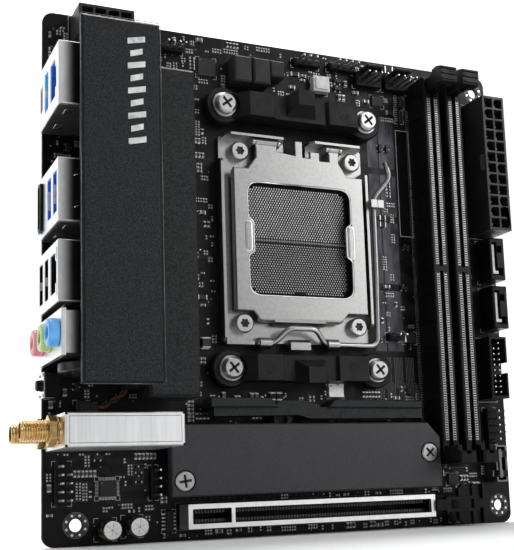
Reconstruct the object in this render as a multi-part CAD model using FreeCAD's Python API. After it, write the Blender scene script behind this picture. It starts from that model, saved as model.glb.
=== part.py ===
import FreeCAD, Part
import math
import os

# Mini-ITX computer motherboard, standing upright as it does in a tower case.
#
# Every function below works in the bench frame, in millimetres, with the board
# lying flat: x runs from the rear port edge to the power connector edge, y from
# the expansion slot edge to the top edge, and z out of the component side, with
# z = 0 on that side's surface. place_in_row() stands the result upright:
#   row X = x - ORIGIN_X, row Y = -(z + BOARD_T), row Z = y - ORIGIN_Y
# so the origin is midway between the two lower mounting holes, on the solder
# side, and the components face -Y.

Vector = FreeCAD.Vector

# ---------------------------------------------------------------- board
BOARD = 170.18            # side of a Mini-ITX board
BOARD_T = 1.6
BOARD_CORNER_R = 3.6
MOUNT_HOLE_R = 1.98
LOWER_HOLES = [(10.16, 6.35), (165.10, 6.35)]
UPPER_HOLES = [(33.02, 163.83), (165.10, 163.83)]
ORIGIN_X = (LOWER_HOLES[0][0] + LOWER_HOLES[1][0]) / 2
ORIGIN_Y = LOWER_HOLES[0][1]

# ---------------------------------------------------------------- processor socket
SOCKET_X = 87.1
SOCKET_Y = 99.45
COOLER_DX = 27.0          # half the cooler screw spacing, 54 x 90 mm pattern
COOLER_DY = 45.0
COOLER_POST_R = 2.9
FRAME_SCREW_DX = 21.4
FRAME_SCREW_DY = 29.7
FRAME_POST_R = 2.3
SOCKET_HALF = 21.6
CONTACT_HALF_X = 18.9
CONTACT_HALF_Y = 19.1
FRAME_T = 1.1             # sheet thickness of the base frame
FRAME_Z = 0.3
PLATE_HALF = 24.6         # load plate, half width
PLATE_TOP = 32.3          # load plate edges, from the socket centre
PLATE_BOTTOM = -28.0
PLATE_Z = 4.2
PLATE_T = 1.1
PLATE_HINGE_Y = 33.0
PLATE_HINGE_Z = 4.7
HINGE_PIN_R = 0.62
HINGE_BORE_R = 0.68
HINGE_BARREL_R = 1.2
BARREL_LEFT = (-16.2, -8.4)
BARREL_RIGHT = (11.6, 15.4)
LUG_T = 1.0
WINDOW_LEFT = -19.7
WINDOW_RIGHT = 19.3
WINDOW_TOP = 18.8
WINDOW_BOTTOM = -20.3
LEVER_R = 0.95
LEVER_Y = -36.3           # lever axis, from the socket centre
LEVER_Z = 3.7
LEVER_ARM_X = 28.6
LEVER_CRANK_X = -1.5

# ---------------------------------------------------------------- cooler brackets
BRACKET_HALF_W = 4.2
BRACKET_BOSS_R = 6.3
BRACKET_BOSS_H = 4.6
BRACKET_BLOCK_H = 9.6
BRACKET_LUG_H = 13.4
SCREW_HEAD_R = 3.7

# ---------------------------------------------------------------- power stage cooling
SINK_CAP = (4.3, 28.5, 46.0, 155.6)       # x0, x1, y0, y1 of the tall level
SINK_CAP_Z = (32.4, 34.4)
SINK_WALL_X = 23.0
SINK_STEP = (28.5, 44.3, 43.6, 148.6)     # the lower level beside it
SINK_STEP_Z = (7.0, 20.0)
SINK_BEVEL = 0.9

# ---------------------------------------------------------------- memory slots
DIMM_X = (138.5, 147.8)
DIMM_HALF_W = 3.3
DIMM_Y = (21.4, 162.0)
DIMM_H = 12.0
DIMM_GROOVE_HALF = 0.85
DIMM_ROW = (29.0, 154.6)
DIMM_TOWER_H = 22.6
DIMM_LATCH_Y = 158.6
DIMM_LATCH_PIVOT_Z = 4.6
DIMM_LATCH_H = 24.0
LATCH_PIN_R = 1.0
LATCH_BORE_R = 1.06
DIMM_KEY_Y = 90.6

# ---------------------------------------------------------------- expansion slot
PCIE_X = (42.4, 131.2)
PCIE_Y = 7.5
PCIE_HALF_W = 3.75
PCIE_H = 11.0
PCIE_KEY_X = 57.2
PCIE_GROOVE_HALF = 0.9
CONTACT_T = 0.35          # contact row thickness, in pockets beside each groove
PCIE_PIVOT_X = 134.6
PCIE_PIVOT_Z = 3.4

# ---------------------------------------------------------------- power headers
ATX_X = (160.1, 169.7)
ATX_Y = (106.3, 157.9)
EPS_X = (8.9, 26.9)
EPS_Y = (159.4, 169.0)
POWER_H = 12.8
POWER_PITCH = 4.2
POWER_CELL = 3.45

FAN_X = (112.6, 124.6)

# ---------------------------------------------------------------- rear ports
PORT_FACE = -1.0
USB_STACK_A = (128.9, 148.4, 29.0, 17.5)  # y0, y1, height, depth
USB_STACK_B = (93.7, 112.8, 28.2, 17.0)
LAN_STACK = (70.2, 88.5, 27.6, 20.6)
AUDIO_STACK = (54.6, 67.2, 31.8, 13.5)
AUDIO_JACK_Y = 61.1
AUDIO_JACK_Z = (5.2, 16.5, 27.3)
AUDIO_BORE_R = 1.8
AUDIO_SLEEVE_R = 4.1
AUDIO_TIP = -4.2
BUTTON_Y = 48.4
BUTTON_Z = 3.4
BUTTON_STEM_R = 1.7

# ---------------------------------------------------------------- wireless module
WIFI_X = (0.9, 36.2)
WIFI_Y = (28.7, 38.6)
WIFI_H = 28.0
ANTENNA_Y = 33.7
ANTENNA_Z = (6.6, 21.8)
ANTENNA_TIP = -10.6
ANTENNA_R = 3.1
ANTENNA_NECK_X = -3.0     # the thread ends here, under the nut
ANTENNA_NECK_R = 2.8

# ---------------------------------------------------------------- battery
BATTERY_X = 12.0
BATTERY_Z = 15.2
BATTERY_Y = (50.8, 54.3)
BATTERY_R = 10.3
LEAD_R = 1.0
LEAD_POINTS = [
    (16.2, 52.3, 5.0), (20.4, 52.6, 4.1), (24.2, 51.6, 3.1), (26.2, 48.6, 2.4),
    (23.9, 45.4, 2.1), (20.0, 43.2, 2.1), (16.6, 41.8, 2.4),
]

# ---------------------------------------------------------------- storage cooler
M2_PLATE_Z = (6.6, 11.0)
M2_SCREWS = [(41.5, 18.4), (130.0, 25.6)]


# ================================================================ helpers
def box(x0, x1, y0, y1, z0, z1):
    """A block between two corners."""
    return Part.makeBox(x1 - x0, y1 - y0, z1 - z0, Vector(x0, y0, z0))


def post(x, y, z0, z1, r):
    """A cylinder standing on the board."""
    return Part.makeCylinder(r, z1 - z0, Vector(x, y, z0))


def rod_x(x0, x1, y, z, r):
    """A cylinder along x."""
    return Part.makeCylinder(r, x1 - x0, Vector(x0, y, z), Vector(1, 0, 0))


def rod_y(y0, y1, x, z, r):
    """A cylinder along y."""
    return Part.makeCylinder(r, y1 - y0, Vector(x, y0, z), Vector(0, 1, 0))


def slab(x0, x1, y0, y1, z0, z1, r):
    """A block with four rounded upright edges."""
    corners = [(x1 - r, y1 - r, 0), (x0 + r, y1 - r, 90), (x0 + r, y0 + r, 180), (x1 - r, y0 + r, 270)]
    edges = []
    arcs = []
    for cx, cy, start in corners:
        circle = Part.Circle(Vector(cx, cy, z0), Vector(0, 0, 1), r)
        arcs.append(Part.Arc(circle, math.radians(start), math.radians(start + 90)).toShape())
    for i, arc in enumerate(arcs):
        following = arcs[(i + 1) % 4]
        edges.append(arc)
        edges.append(Part.LineSegment(arc.Vertexes[-1].Point, following.Vertexes[0].Point).toShape())
    return Part.Face(Part.Wire(edges)).extrude(Vector(0, 0, z1 - z0))


def prism(points, along):
    """A closed outline of 3-D points, swept by the vector along."""
    wire = Part.makePolygon([Vector(*p) for p in points] + [Vector(*points[0])])
    return Part.Face(wire).extrude(Vector(*along))


def prism_z(points, z0, z1):
    """An outline in x, y raised from z0 to z1."""
    return prism([(x, y, z0) for x, y in points], (0, 0, z1 - z0))


def prism_x(points, x0, x1):
    """An outline in y, z swept from x0 to x1."""
    return prism([(x0, y, z) for y, z in points], (x1 - x0, 0, 0))


def prism_y(points, y0, y1):
    """An outline in x, z swept from y0 to y1."""
    return prism([(x, y0, z) for x, z in points], (0, y1 - y0, 0))


def fuse(shapes):
    """Several touching solids as one solid."""
    return shapes[0].multiFuse(shapes[1:]).removeSplitter()


def cut(shape, tools):
    """The shape without the tools."""
    return shape.cut(Part.makeCompound(tools)) if tools else shape


def group(shapes):
    """Separate solids that share one node."""
    return Part.makeCompound([solid for shape in shapes for solid in shape.Solids])


def bevel_level(shape, z, size):
    """Chamfers every straight or round edge that lies at height z."""
    edges = [e for e in shape.Edges if all(abs(v.Z - z) < 1e-4 for v in e.Vertexes)]
    return shape.makeChamfer(size, edges)


def chamfered_block(x0, x1, y0, y1, z0, z1, size):
    """A block with its top edges chamfered."""
    return bevel_level(box(x0, x1, y0, y1, z0, z1), z1, size)


def wire_path(points, bend):
    """Straight runs joined by tangent arcs; bend is the arc radius, or None for
    0.45 of the shorter run over the tangent of half the turn. Returns the wire and its radii."""
    corners = [Vector(*p) for p in points]
    edges = []
    radii = []
    start = corners[0]
    for i in range(1, len(corners) - 1):
        before = (corners[i - 1] - corners[i])
        after = (corners[i + 1] - corners[i])
        shorter = min(before.Length, after.Length)
        before.normalize()
        after.normalize()
        turn = math.pi - before.getAngle(after)
        radius = 0.45 * shorter / math.tan(turn / 2) if bend is None else bend
        reach = radius * math.tan(turn / 2)
        first = corners[i] + before * reach
        last = corners[i] + after * reach
        bisector = before + after
        bisector.normalize()
        middle = corners[i] + bisector * (radius / math.cos(turn / 2) - radius)
        edges.append(Part.LineSegment(start, first).toShape())
        edges.append(Part.Arc(first, middle, last).toShape())
        radii.append(round(radius, 2))
        start = last
    edges.append(Part.LineSegment(start, corners[-1]).toShape())
    return Part.Wire(edges), radii


def tube(points, radius, bend):
    """A round rod along a path of straight runs and arcs."""
    path, radii = wire_path(points, bend)
    heading = Vector(*points[1]) - Vector(*points[0])
    ring = Part.Wire(Part.Circle(Vector(*points[0]), heading, radius).toShape())
    solid = path.makePipeShell([ring], True, True)
    expected = math.pi * radius * radius * path.Length
    print("tube radii", radii, "length", round(path.Length, 1), "volume ratio",
          round(solid.Volume / expected, 3))
    return solid


def about_socket(shape):
    """Moves a shape drawn about the socket's centre to its place."""
    return shape.translated(Vector(SOCKET_X, SOCKET_Y, 0))


def pin_heads(points, z0, z1, half):
    """Square contact pins at a list of x, y places."""
    return group([box(x - half, x + half, y - half, y + half, z0, z1) for x, y in points])


# ================================================================ board
def make_pcb():
    plate = slab(0, BOARD, 0, BOARD, -BOARD_T, 0, BOARD_CORNER_R)
    holes = [post(x, y, -BOARD_T - 1, 1, MOUNT_HOLE_R) for x, y in LOWER_HOLES + UPPER_HOLES]
    for x, y in cooler_points():
        holes.append(post(x, y, -BOARD_T - 1, 1, COOLER_POST_R + 0.2))
    for x, y in frame_screw_points():
        holes.append(post(x, y, -BOARD_T - 1, 1, FRAME_POST_R + 0.2))
    return cut(plate, holes)


def cooler_points():
    return [(SOCKET_X + sx * COOLER_DX, SOCKET_Y + sy * COOLER_DY) for sx in (-1, 1) for sy in (-1, 1)]


def frame_screw_points():
    return [(SOCKET_X + sx * FRAME_SCREW_DX, SOCKET_Y + sy * FRAME_SCREW_DY)
            for sx in (-1, 1) for sy in (-1, 1)]


# ================================================================ processor socket
def make_socket_housing():
    body = bevel_level(slab(-SOCKET_HALF, SOCKET_HALF, -SOCKET_HALF, SOCKET_HALF, 0, 3.6, 1.2), 3.6, 0.35)
    recess = slab(-20.3, 20.3, -20.3, 20.3, 1.9, 5, 1.0)
    thumb = [box(-4, 4, sy * 20.9 - 1.6, sy * 20.9 + 1.6, 2.3, 5) for sy in (-1, 1)]
    return about_socket(cut(body, [recess] + thumb))


def make_socket_contacts():
    """The contact field in two halves with the dividing rail between them."""
    x = CONTACT_HALF_X
    y = CONTACT_HALF_Y
    lower = prism_z([(-x, -y + 2), (-x + 2, -y), (x - 2, -y), (x, -y + 2), (x, -1.1), (-x, -1.1)], 1.9, 2.5)
    upper = prism_z([(-x, -0.1), (x, -0.1), (x, y - 2), (x - 2, y), (-x + 2, y), (-x, y - 2)], 1.9, 2.5)
    rail = box(-x, x, -0.95, -0.25, 1.9, 2.7)
    return about_socket(group([lower, upper, rail]))


def make_socket_frame():
    """Steel base frame: flat ring, upright side and end flanges, lever clips, hinge lugs and pins."""
    z0 = FRAME_Z
    z1 = FRAME_Z + FRAME_T
    plate = slab(-28.4, 26.2, -36.0, 34.9, z0, z1, 1.2)
    window = slab(-21.9, 21.9, -22.0, 22.0, z0 - 1, z1 + 1, 1.0)
    notch = box(-4.2, 4.2, 30.0, 36, z0 - 1, z1 + 1)
    left = slab_upright_y(-28.9, -27.9, -36.0, 26.4, z0, 5.0)
    right = slab_upright_y(25.5, 26.5, -30.0, 26.2, z0, 5.6)
    top_left = rounded_flange_x(-27.0, -4.4, 34.4, 35.3, z0, 6.2)
    top_right = rounded_flange_x(4.4, 25.3, 34.4, 35.3, z0, 6.2)
    lip = box(-28.0, -18.2, -36.9, -35.7, z0, 4.3)
    bridge = prism_x([(-38.4, z0), (-34.8, z0), (-34.8, 3.4), (-35.9, 4.6), (-38.4, 4.6)], -5.2, 2.2)
    bridge_foot = box(-5.2, 2.2, -36.5, -33.8, z0, z1)
    hook_stem = box(26.4, 27.2, 12.8, 15.6, z0, 7.9)
    hook_base = box(26.0, 27.2, 12.8, 15.6, z0, z1)
    hook_top = box(26.4, 31.4, 12.8, 15.6, 7.0, 7.9)
    solids = [plate, left, right, top_left, top_right, lip, bridge, bridge_foot,
              hook_base, hook_stem, hook_top]
    for x0, x1 in ((-16.6, -12.4), (8.6, 12.8)):
        solids.append(lever_clip(x0, x1))
    for x0, x1 in (BARREL_LEFT, BARREL_RIGHT):
        solids.append(hinge_lug(x0 - 0.2 - LUG_T))
        solids.append(hinge_lug(x1 + 0.2))
        solids.append(rod_x(x0 - 0.2 - LUG_T, x1 + 0.2 + LUG_T, PLATE_HINGE_Y, PLATE_HINGE_Z, HINGE_PIN_R))
    holes = [post(sx * FRAME_SCREW_DX, sy * FRAME_SCREW_DY, z0 - 1, z1 + 1, 2.0)
             for sx in (-1, 1) for sy in (-1, 1)]
    ring = cut(fuse(solids), [window, notch] + holes)
    return about_socket(ring)


def slab_upright_y(x0, x1, y0, y1, z0, z1):
    """A thin upright wall along y with its two free corners cut."""
    return prism_x([(y0, z0), (y1, z0), (y1, z1 - 1.2), (y1 - 1.2, z1), (y0 + 1.2, z1), (y0, z1 - 1.2)], x0, x1)


def rounded_flange_x(x0, x1, y0, y1, z0, z1):
    """A thin upright wall along x with its two free corners cut."""
    return prism_y([(x0, z0), (x1, z0), (x1, z1 - 1.6), (x1 - 1.6, z1), (x0 + 1.6, z1), (x0, z1 - 1.6)], y0, y1)


def lever_clip(x0, x1):
    """A curled steel clip that the lever turns in."""
    outer = rod_x(x0, x1, LEVER_Y, LEVER_Z, LEVER_R + 1.0)
    base = box(x0, x1, LEVER_Y - 1.0, LEVER_Y + 1.95, FRAME_Z, LEVER_Z)
    bore = rod_x(x0 - 1, x1 + 1, LEVER_Y, LEVER_Z, LEVER_R + 0.07)
    return cut(outer.fuse(base), [bore])


def hinge_lug(x):
    """A small ear that holds one end of a hinge pin."""
    ear = rod_x(x, x + LUG_T, PLATE_HINGE_Y, PLATE_HINGE_Z, HINGE_BARREL_R)
    stand = box(x, x + LUG_T, PLATE_HINGE_Y - HINGE_BARREL_R, PLATE_HINGE_Y + HINGE_BARREL_R, FRAME_Z, PLATE_HINGE_Z)
    return ear.fuse(stand)


def make_load_plate():
    """The pressed steel plate that holds the processor down, with its hinge barrels."""
    z0 = PLATE_Z
    z1 = PLATE_Z + PLATE_T
    h = PLATE_HALF
    outline = [
        (BARREL_LEFT[0], PLATE_TOP), (BARREL_LEFT[0], 27.6), (-19.2, 23.4), (-h, 23.4), (-h, -25.6), (-18.6, -25.6),
        (-16.6, PLATE_BOTTOM), (14.6, PLATE_BOTTOM), (16.8, -25.6), (h, -25.6), (h, 23.6),
        (18.4, 23.6), (BARREL_RIGHT[1], 28.2), (BARREL_RIGHT[1], PLATE_TOP),
        (BARREL_RIGHT[0], PLATE_TOP), (BARREL_RIGHT[0], 28.6), (8.0, 28.6), (8.0, 31.6), (4.2, 31.6), (4.2, 29.2),
        (1.5, 29.2), (1.5, 34.9), (-1.5, 34.9), (-1.5, 29.6), (BARREL_LEFT[1], 30.4), (BARREL_LEFT[1], PLATE_TOP),
    ]
    plate = prism_z(outline, z0, z1)
    window = slab(WINDOW_LEFT, WINDOW_RIGHT, WINDOW_BOTTOM, WINDOW_TOP, z0 - 1, z1 + 1, 3.8)
    plate = cut(plate, [window])
    plate = bevel_level(plate, z1, 0.3)
    pads = [load_pad(-1, WINDOW_LEFT), load_pad(1, WINDOW_RIGHT)]
    skirt_left = box(-h, -h + 1.0, -25.0, 22.8, z0 - 1.6, z0 + 0.2)
    skirt_right = box(h - 1.0, h, -25.0, 22.8, z0 - 1.6, z0 + 0.2)
    front = prism_x([(PLATE_BOTTOM, z1), (PLATE_BOTTOM, z0), (-29.3, 2.4), (-30.2, 2.4), (-30.2, 3.2),
                     (-29.2, z1 - 0.3)], -11.0, 8.0)
    barrels = []
    for x0, x1 in (BARREL_LEFT, BARREL_RIGHT):
        barrels.append(rod_x(x0, x1, PLATE_HINGE_Y, PLATE_HINGE_Z, HINGE_BARREL_R))
        barrels.append(box(x0, x1, PLATE_TOP - 1.0, PLATE_HINGE_Y, z0, z1))
    solid = fuse([plate] + pads + [skirt_left, skirt_right, front] + barrels)
    bores = [rod_x(-19, -7, PLATE_HINGE_Y, PLATE_HINGE_Z, HINGE_BORE_R),
             rod_x(7, 19, PLATE_HINGE_Y, PLATE_HINGE_Z, HINGE_BORE_R)]
    return about_socket(cut(solid, bores))


def load_pad(side, edge):
    """The long tab at the window's mid-height that presses on the processor."""
    inner = edge - side * 2.0
    outer = edge + side * 0.6
    points = [(outer, 6.4), (inner, 4.9), (inner, -5.3), (outer, -6.8)]
    return prism_z(points, PLATE_Z - 0.5, PLATE_Z + PLATE_T - 0.15)


def make_lever():
    """Bent steel wire: two journals, the crank between them, the long arm and its handle."""
    y = LEVER_Y
    z = LEVER_Z
    c = LEVER_CRANK_X
    points = [
        (-17.4, y, z), (c - 9.6, y, z), (c - 4.9, y + 4.9, z + 2.7), (c + 4.9, y + 4.9, z + 2.7),
        (c + 9.6, y, z), (LEVER_ARM_X, y, z), (LEVER_ARM_X, -12.0, 5.0), (LEVER_ARM_X, 16.6, 5.4),
        (LEVER_ARM_X + 6.6, 24.6, 6.6), (LEVER_ARM_X + 4.6, 30.0, 6.9),
    ]
    return about_socket(tube(points, LEVER_R, 1.9))


def make_frame_screws():
    """Four star-drive screws that clamp the base frame to the backplate."""
    screws = []
    for x, y in frame_screw_points():
        head = bevel_level(post(x, y, FRAME_Z + FRAME_T, 4.0, 3.3), 4.0, 0.5)
        shank = post(x, y, -BOARD_T + 0.1, FRAME_Z + FRAME_T, 1.5)
        star = [post(x + 1.05 * math.cos(a), y + 1.05 * math.sin(a), 2.4, 5, 0.5)
                for a in [math.radians(60 * i) for i in range(6)]]
        drive = fuse([post(x, y, 2.4, 5, 1.1)] + star)
        screws.append(cut(head.fuse(shank), [drive]))
    return group(screws)


def make_backplate():
    """Steel plate behind the socket with threaded posts for the cooler and the frame."""
    z1 = -BOARD_T - 0.3
    z0 = z1 - 1.4
    plate = slab(-31.5, 31.5, -50.0, 50.0, z0, z1, 5.0)
    waist = [prism_z([(s * 40, -34), (s * 27.0, -30), (s * 27.0, 30), (s * 40, 34)], z0 - 1, z1 + 1)
             for s in (-1, 1)]
    window = slab(-15.5, 15.5, -16.0, 16.0, z0 - 1, z1 + 1, 4.0)
    ribs = [slab(-20, 20, s * 38.5 - 4.0, s * 38.5 + 4.0, z0 - 1, z1 + 1, 2.5) for s in (-1, 1)]
    plate = cut(plate, waist + [window] + ribs)
    posts = []
    bores = []
    for sx in (-1, 1):
        for sy in (-1, 1):
            posts.append(post(sx * COOLER_DX, sy * COOLER_DY, z0 - 0.5, 0.2, COOLER_POST_R))
            posts.append(post(sx * FRAME_SCREW_DX, sy * FRAME_SCREW_DY, z0 - 0.3, 0.1, FRAME_POST_R))
            bores.append(post(sx * COOLER_DX, sy * COOLER_DY, -1.9, 1, 1.75))
            bores.append(post(sx * FRAME_SCREW_DX, sy * FRAME_SCREW_DY, -1.7, 1, 1.6))
    return about_socket(cut(fuse([plate] + posts), bores))


def make_backplate_sheet():
    """Thin insulating sheet between the backplate and the board."""
    z0 = -BOARD_T - 0.28
    sheet = slab(-30.5, 30.5, -49.0, 49.0, z0, -BOARD_T - 0.03, 4.5)
    holes = [slab(-15.5, 15.5, -16.0, 16.0, z0 - 1, 0, 4.0)]
    for sx in (-1, 1):
        holes.append(prism_z([(sx * 40, -34), (sx * 26.0, -30), (sx * 26.0, 30), (sx * 40, 34)], z0 - 1, 0))
        for sy in (-1, 1):
            holes.append(post(sx * COOLER_DX, sy * COOLER_DY, z0 - 1, 0, COOLER_POST_R + 0.1))
            holes.append(post(sx * FRAME_SCREW_DX, sy * FRAME_SCREW_DY, z0 - 1, 0, FRAME_POST_R + 0.1))
    return about_socket(cut(sheet, holes))


# ================================================================ cooler brackets
def make_bracket(side):
    """One cooler bracket; side is +1 above the socket and -1 below it."""
    w = BRACKET_HALF_W
    z0 = 0.3
    profile = [
        (-27, z0), (27, z0), (27, 4.0), (24.5, 4.3), (21.5, BRACKET_BLOCK_H), (10.4, BRACKET_BLOCK_H),
        (9.6, BRACKET_BLOCK_H - 1.4), (-9.6, BRACKET_BLOCK_H - 1.4), (-10.4, BRACKET_BLOCK_H),
        (-19.5, BRACKET_BLOCK_H), (-24.5, 4.3), (-27, 4.0),
    ]
    y_mid = side * COOLER_DY
    bar = prism_y(profile, y_mid - w, y_mid + w)
    solids = [bar]
    for sx in (-1, 1):
        boss = bevel_level(post(sx * COOLER_DX, y_mid, z0, BRACKET_BOSS_H, BRACKET_BOSS_R), BRACKET_BOSS_H, 0.5)
        solids.append(boss)
    lower = [(-7, y_mid - side * w), (7, y_mid - side * w), (7, y_mid + side * w), (-7, y_mid + side * w)]
    upper = [(-3, y_mid + side * 0.2), (3, y_mid + side * 0.2), (3, y_mid + side * 5.4), (-3, y_mid + side * 5.4)]
    base = Part.makePolygon([Vector(x, y, 5.6) for x, y in lower + lower[:1]])
    top = Part.makePolygon([Vector(x, y, BRACKET_LUG_H) for x, y in upper + upper[:1]])
    solids.append(Part.makeLoft([base, top], True, True))
    wells = [post(sx * COOLER_DX, y_mid, BRACKET_BOSS_H - 0.1, 20, SCREW_HEAD_R + 1.3) for sx in (-1, 1)]
    bores = [post(sx * COOLER_DX, y_mid, -1, 20, 2.0) for sx in (-1, 1)]
    return about_socket(cut(fuse(solids), wells + bores))


def make_bracket_screws():
    """Four cross-head screws with washers that hold the cooler brackets."""
    screws = []
    for x, y in cooler_points():
        washer = bevel_level(post(x, y, BRACKET_BOSS_H, BRACKET_BOSS_H + 0.7, SCREW_HEAD_R + 0.6),
                             BRACKET_BOSS_H + 0.7, 0.2)
        head = bevel_level(post(x, y, BRACKET_BOSS_H + 0.7, BRACKET_BOSS_H + 3.1, SCREW_HEAD_R),
                           BRACKET_BOSS_H + 3.1, 0.8)
        shank = post(x, y, -1.5, BRACKET_BOSS_H + 0.7, 1.6)
        top = BRACKET_BOSS_H + 3.2
        slots = [box(x - 2.2, x + 2.2, y - 0.45, y + 0.45, top - 1.5, top + 1),
                 box(x - 0.45, x + 0.45, y - 2.2, y + 2.2, top - 1.5, top + 1)]
        screws.append(cut(fuse([washer, head, shank]), [s.rotated(Vector(x, y, 0), Vector(0, 0, 1), 38)
                                                        for s in slots]))
    return group(screws)


# ================================================================ power stage cooling
def make_vrm_heatsink():
    """Two-level aluminium heatsink: the tall level roofs over the rear ports."""
    x0, x1, y0, y1 = SINK_CAP
    low, high = SINK_CAP_Z
    cap = bevel_level(box(x0, x1, y0, y1, low, high), high, SINK_BEVEL)
    wall = box(SINK_WALL_X, x1, y0 + 1.0, y1 - 8.2, SINK_STEP_Z[0], low)
    sx0, sx1, sy0, sy1 = SINK_STEP
    step = box(sx0 - 0.5, sx1, sy0, sy1, SINK_STEP_Z[0], SINK_STEP_Z[1])
    step = bevel_level(step, SINK_STEP_Z[1], SINK_BEVEL)
    pedestals = [box(39.0, 43.6, y, y + 34.0, 3.0, SINK_STEP_Z[0]) for y in (62.0, 106.0)]
    feet = [post(x, y, 0, SINK_STEP_Z[0], 2.6) for x, y in ((36.4, 47.4), (36.4, 144.8), (36.4, 100.8))]
    return fuse([cap, wall, step] + pedestals + feet)


def make_vrm_pads():
    """Thermal pads between the power stages and the heatsink."""
    return group([box(39.2, 43.4, y + 0.5, y + 33.5, 1.5, 3.0) for y in (62.0, 106.0)])


def make_power_stages():
    """Flat power transistor packages under the heatsink."""
    ys = [63.2 + 8.2 * i for i in range(4)] + [107.2 + 8.2 * i for i in range(4)]
    return group([box(39.0, 43.8, y, y + 5.6, 0, 1.0) for y in ys])


def make_vrm_chokes():
    """Moulded inductors under the heatsink and the three above the socket."""
    ys = [62.6 + 8.2 * i for i in range(4)] + [106.6 + 8.2 * i for i in range(4)]
    hidden = [chamfered_block(31.4, 38.2, y, y + 6.8, 0, 5.0, 0.5) for y in ys]
    open_ones = [chamfered_block(63.4, 69.9, 153.0, 162.2, 0, 7.0, 0.6),
                 chamfered_block(70.4, 76.8, 153.0, 162.2, 0, 7.0, 0.6),
                 chamfered_block(77.6, 83.0, 157.0, 163.0, 0, 5.0, 0.5)]
    return group(hidden + open_ones)


def make_heatsink_screws():
    """Spring-loaded screws that hold the heatsink from the solder side."""
    screws = []
    for x, y in ((36.4, 47.4), (36.4, 144.8), (36.4, 100.8)):
        z = -BOARD_T
        head = post(x, y, z - 1.6, z, 2.6)
        slots = [box(x - 1.7, x + 1.7, y - 0.4, y + 0.4, z - 2, z - 0.8),
                 box(x - 0.4, x + 0.4, y - 1.7, y + 1.7, z - 2, z - 0.8)]
        screws.append(cut(head, slots))
    return group(screws)


# ================================================================ power headers
def header_cells(x0, x1, y0, y1, rows, columns, along_y):
    """Cell centres of a two-row power header."""
    cx = (x0 + x1) / 2
    cy = (y0 + y1) / 2
    cells = []
    for i in range(columns):
        for j in range(rows):
            a = (i - (columns - 1) / 2) * POWER_PITCH
            b = (j - (rows - 1) / 2) * POWER_PITCH
            cells.append((cx + b, cy + a) if along_y else (cx + a, cy + b))
    return cells


def make_power_header(x0, x1, y0, y1, columns, along_y, latch_side):
    """Shrouded two-row power header with square cells, some with cut corners, and a latch ridge."""
    body = box(x0, x1, y0, y1, 0, POWER_H)
    h = POWER_CELL / 2
    cells = []
    for i, (cx, cy) in enumerate(header_cells(x0, x1, y0, y1, 2, columns, along_y)):
        if (i * 5 + i // 3) % 4 < 2:
            cells.append(box(cx - h, cx + h, cy - h, cy + h, 2.0, 20))
        else:
            k = 0.9
            cells.append(prism_z([(cx - h, cy - h + k), (cx - h + k, cy - h), (cx + h, cy - h),
                                  (cx + h, cy + h), (cx - h + k, cy + h), (cx - h, cy + h - k)], 2.0, 20))
    body = cut(body, cells)
    return body.fuse(latch_side).removeSplitter()


def make_atx_header():
    x0, x1 = ATX_X
    y0, y1 = ATX_Y
    mid = (y0 + y1) / 2
    ridge = prism_y([(x0 + 0.2, 8.5), (x0 + 0.2, 12.2), (x0 - 1.1, 10.9), (x0 - 1.1, 10.2)], mid - 3, mid + 3)
    return make_power_header(x0, x1, y0, y1, 12, True, ridge)


def make_eps_header():
    x0, x1 = EPS_X
    y0, y1 = EPS_Y
    mid = (x0 + x1) / 2
    ridge = prism_x([(y1 - 0.2, 8.5), (y1 - 0.2, 12.2), (y1 + 0.9, 10.9), (y1 + 0.9, 10.2)], mid - 3, mid + 3)
    return make_power_header(x0, x1, y0, y1, 4, False, ridge)


def make_power_pins():
    """The contact pins of both power headers, through the board."""
    cells = header_cells(*ATX_X, *ATX_Y, 2, 12, True) + header_cells(*EPS_X, *EPS_Y, 2, 4, False)
    pins = [bevel_level(box(x - 0.5, x + 0.5, y - 0.5, y + 0.5, -BOARD_T - 1.3, 10.5), 10.5, 0.25)
            for x, y in cells]
    return group(pins)


# ================================================================ memory slots
def make_dimm_slot(x):
    """One memory slot: grooved body, key bar, fixed lower tower and the cheeks of the latch."""
    w = DIMM_HALF_W
    y0, y1 = DIMM_Y
    body = chamfered_block(x - w, x + w, y0, y1, 0, DIMM_H, 0.35)
    groove_lo = box(x - DIMM_GROOVE_HALF, x + DIMM_GROOVE_HALF, DIMM_ROW[0] - 3.6, DIMM_KEY_Y - 0.9, 2.4, 30)
    groove_hi = box(x - DIMM_GROOVE_HALF, x + DIMM_GROOVE_HALF, DIMM_KEY_Y + 0.9, DIMM_ROW[1] + 1.6, 2.4, 30)
    tower = chamfered_block(x - w, x + w, y0, y0 + 4.2, 0, DIMM_TOWER_H, 0.6)
    tower_rail = box(x - w + 0.6, x + w - 0.6, y0 + 4.0, y0 + 6.2, 0, DIMM_TOWER_H - 2.6)
    module_slit = box(x - 0.9, x + 0.9, y0 + 3.0, y0 + 9.0, DIMM_H - 2, 40)
    pocket = box(x - 2.3, x + 2.3, DIMM_LATCH_Y - 2.6, y1 + 1, 0.8, 30)
    body = cut(fuse([body, tower, tower_rail]), [groove_lo, groove_hi, module_slit, pocket])
    pin = rod_x(x - w + 0.4, x + w - 0.4, DIMM_LATCH_Y, DIMM_LATCH_PIVOT_Z, LATCH_PIN_R)
    side_notches = [box(x + s * w - 0.45, x + s * w + 0.45, y, y + 1.6, 1.2, DIMM_H - 2.4)
                    for s in (-1, 1) for y in [y0 + 12 + 9.4 * i for i in range(14)]]
    return cut(fuse([body, pin]), side_notches + dimm_contact_rows(x))


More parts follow.
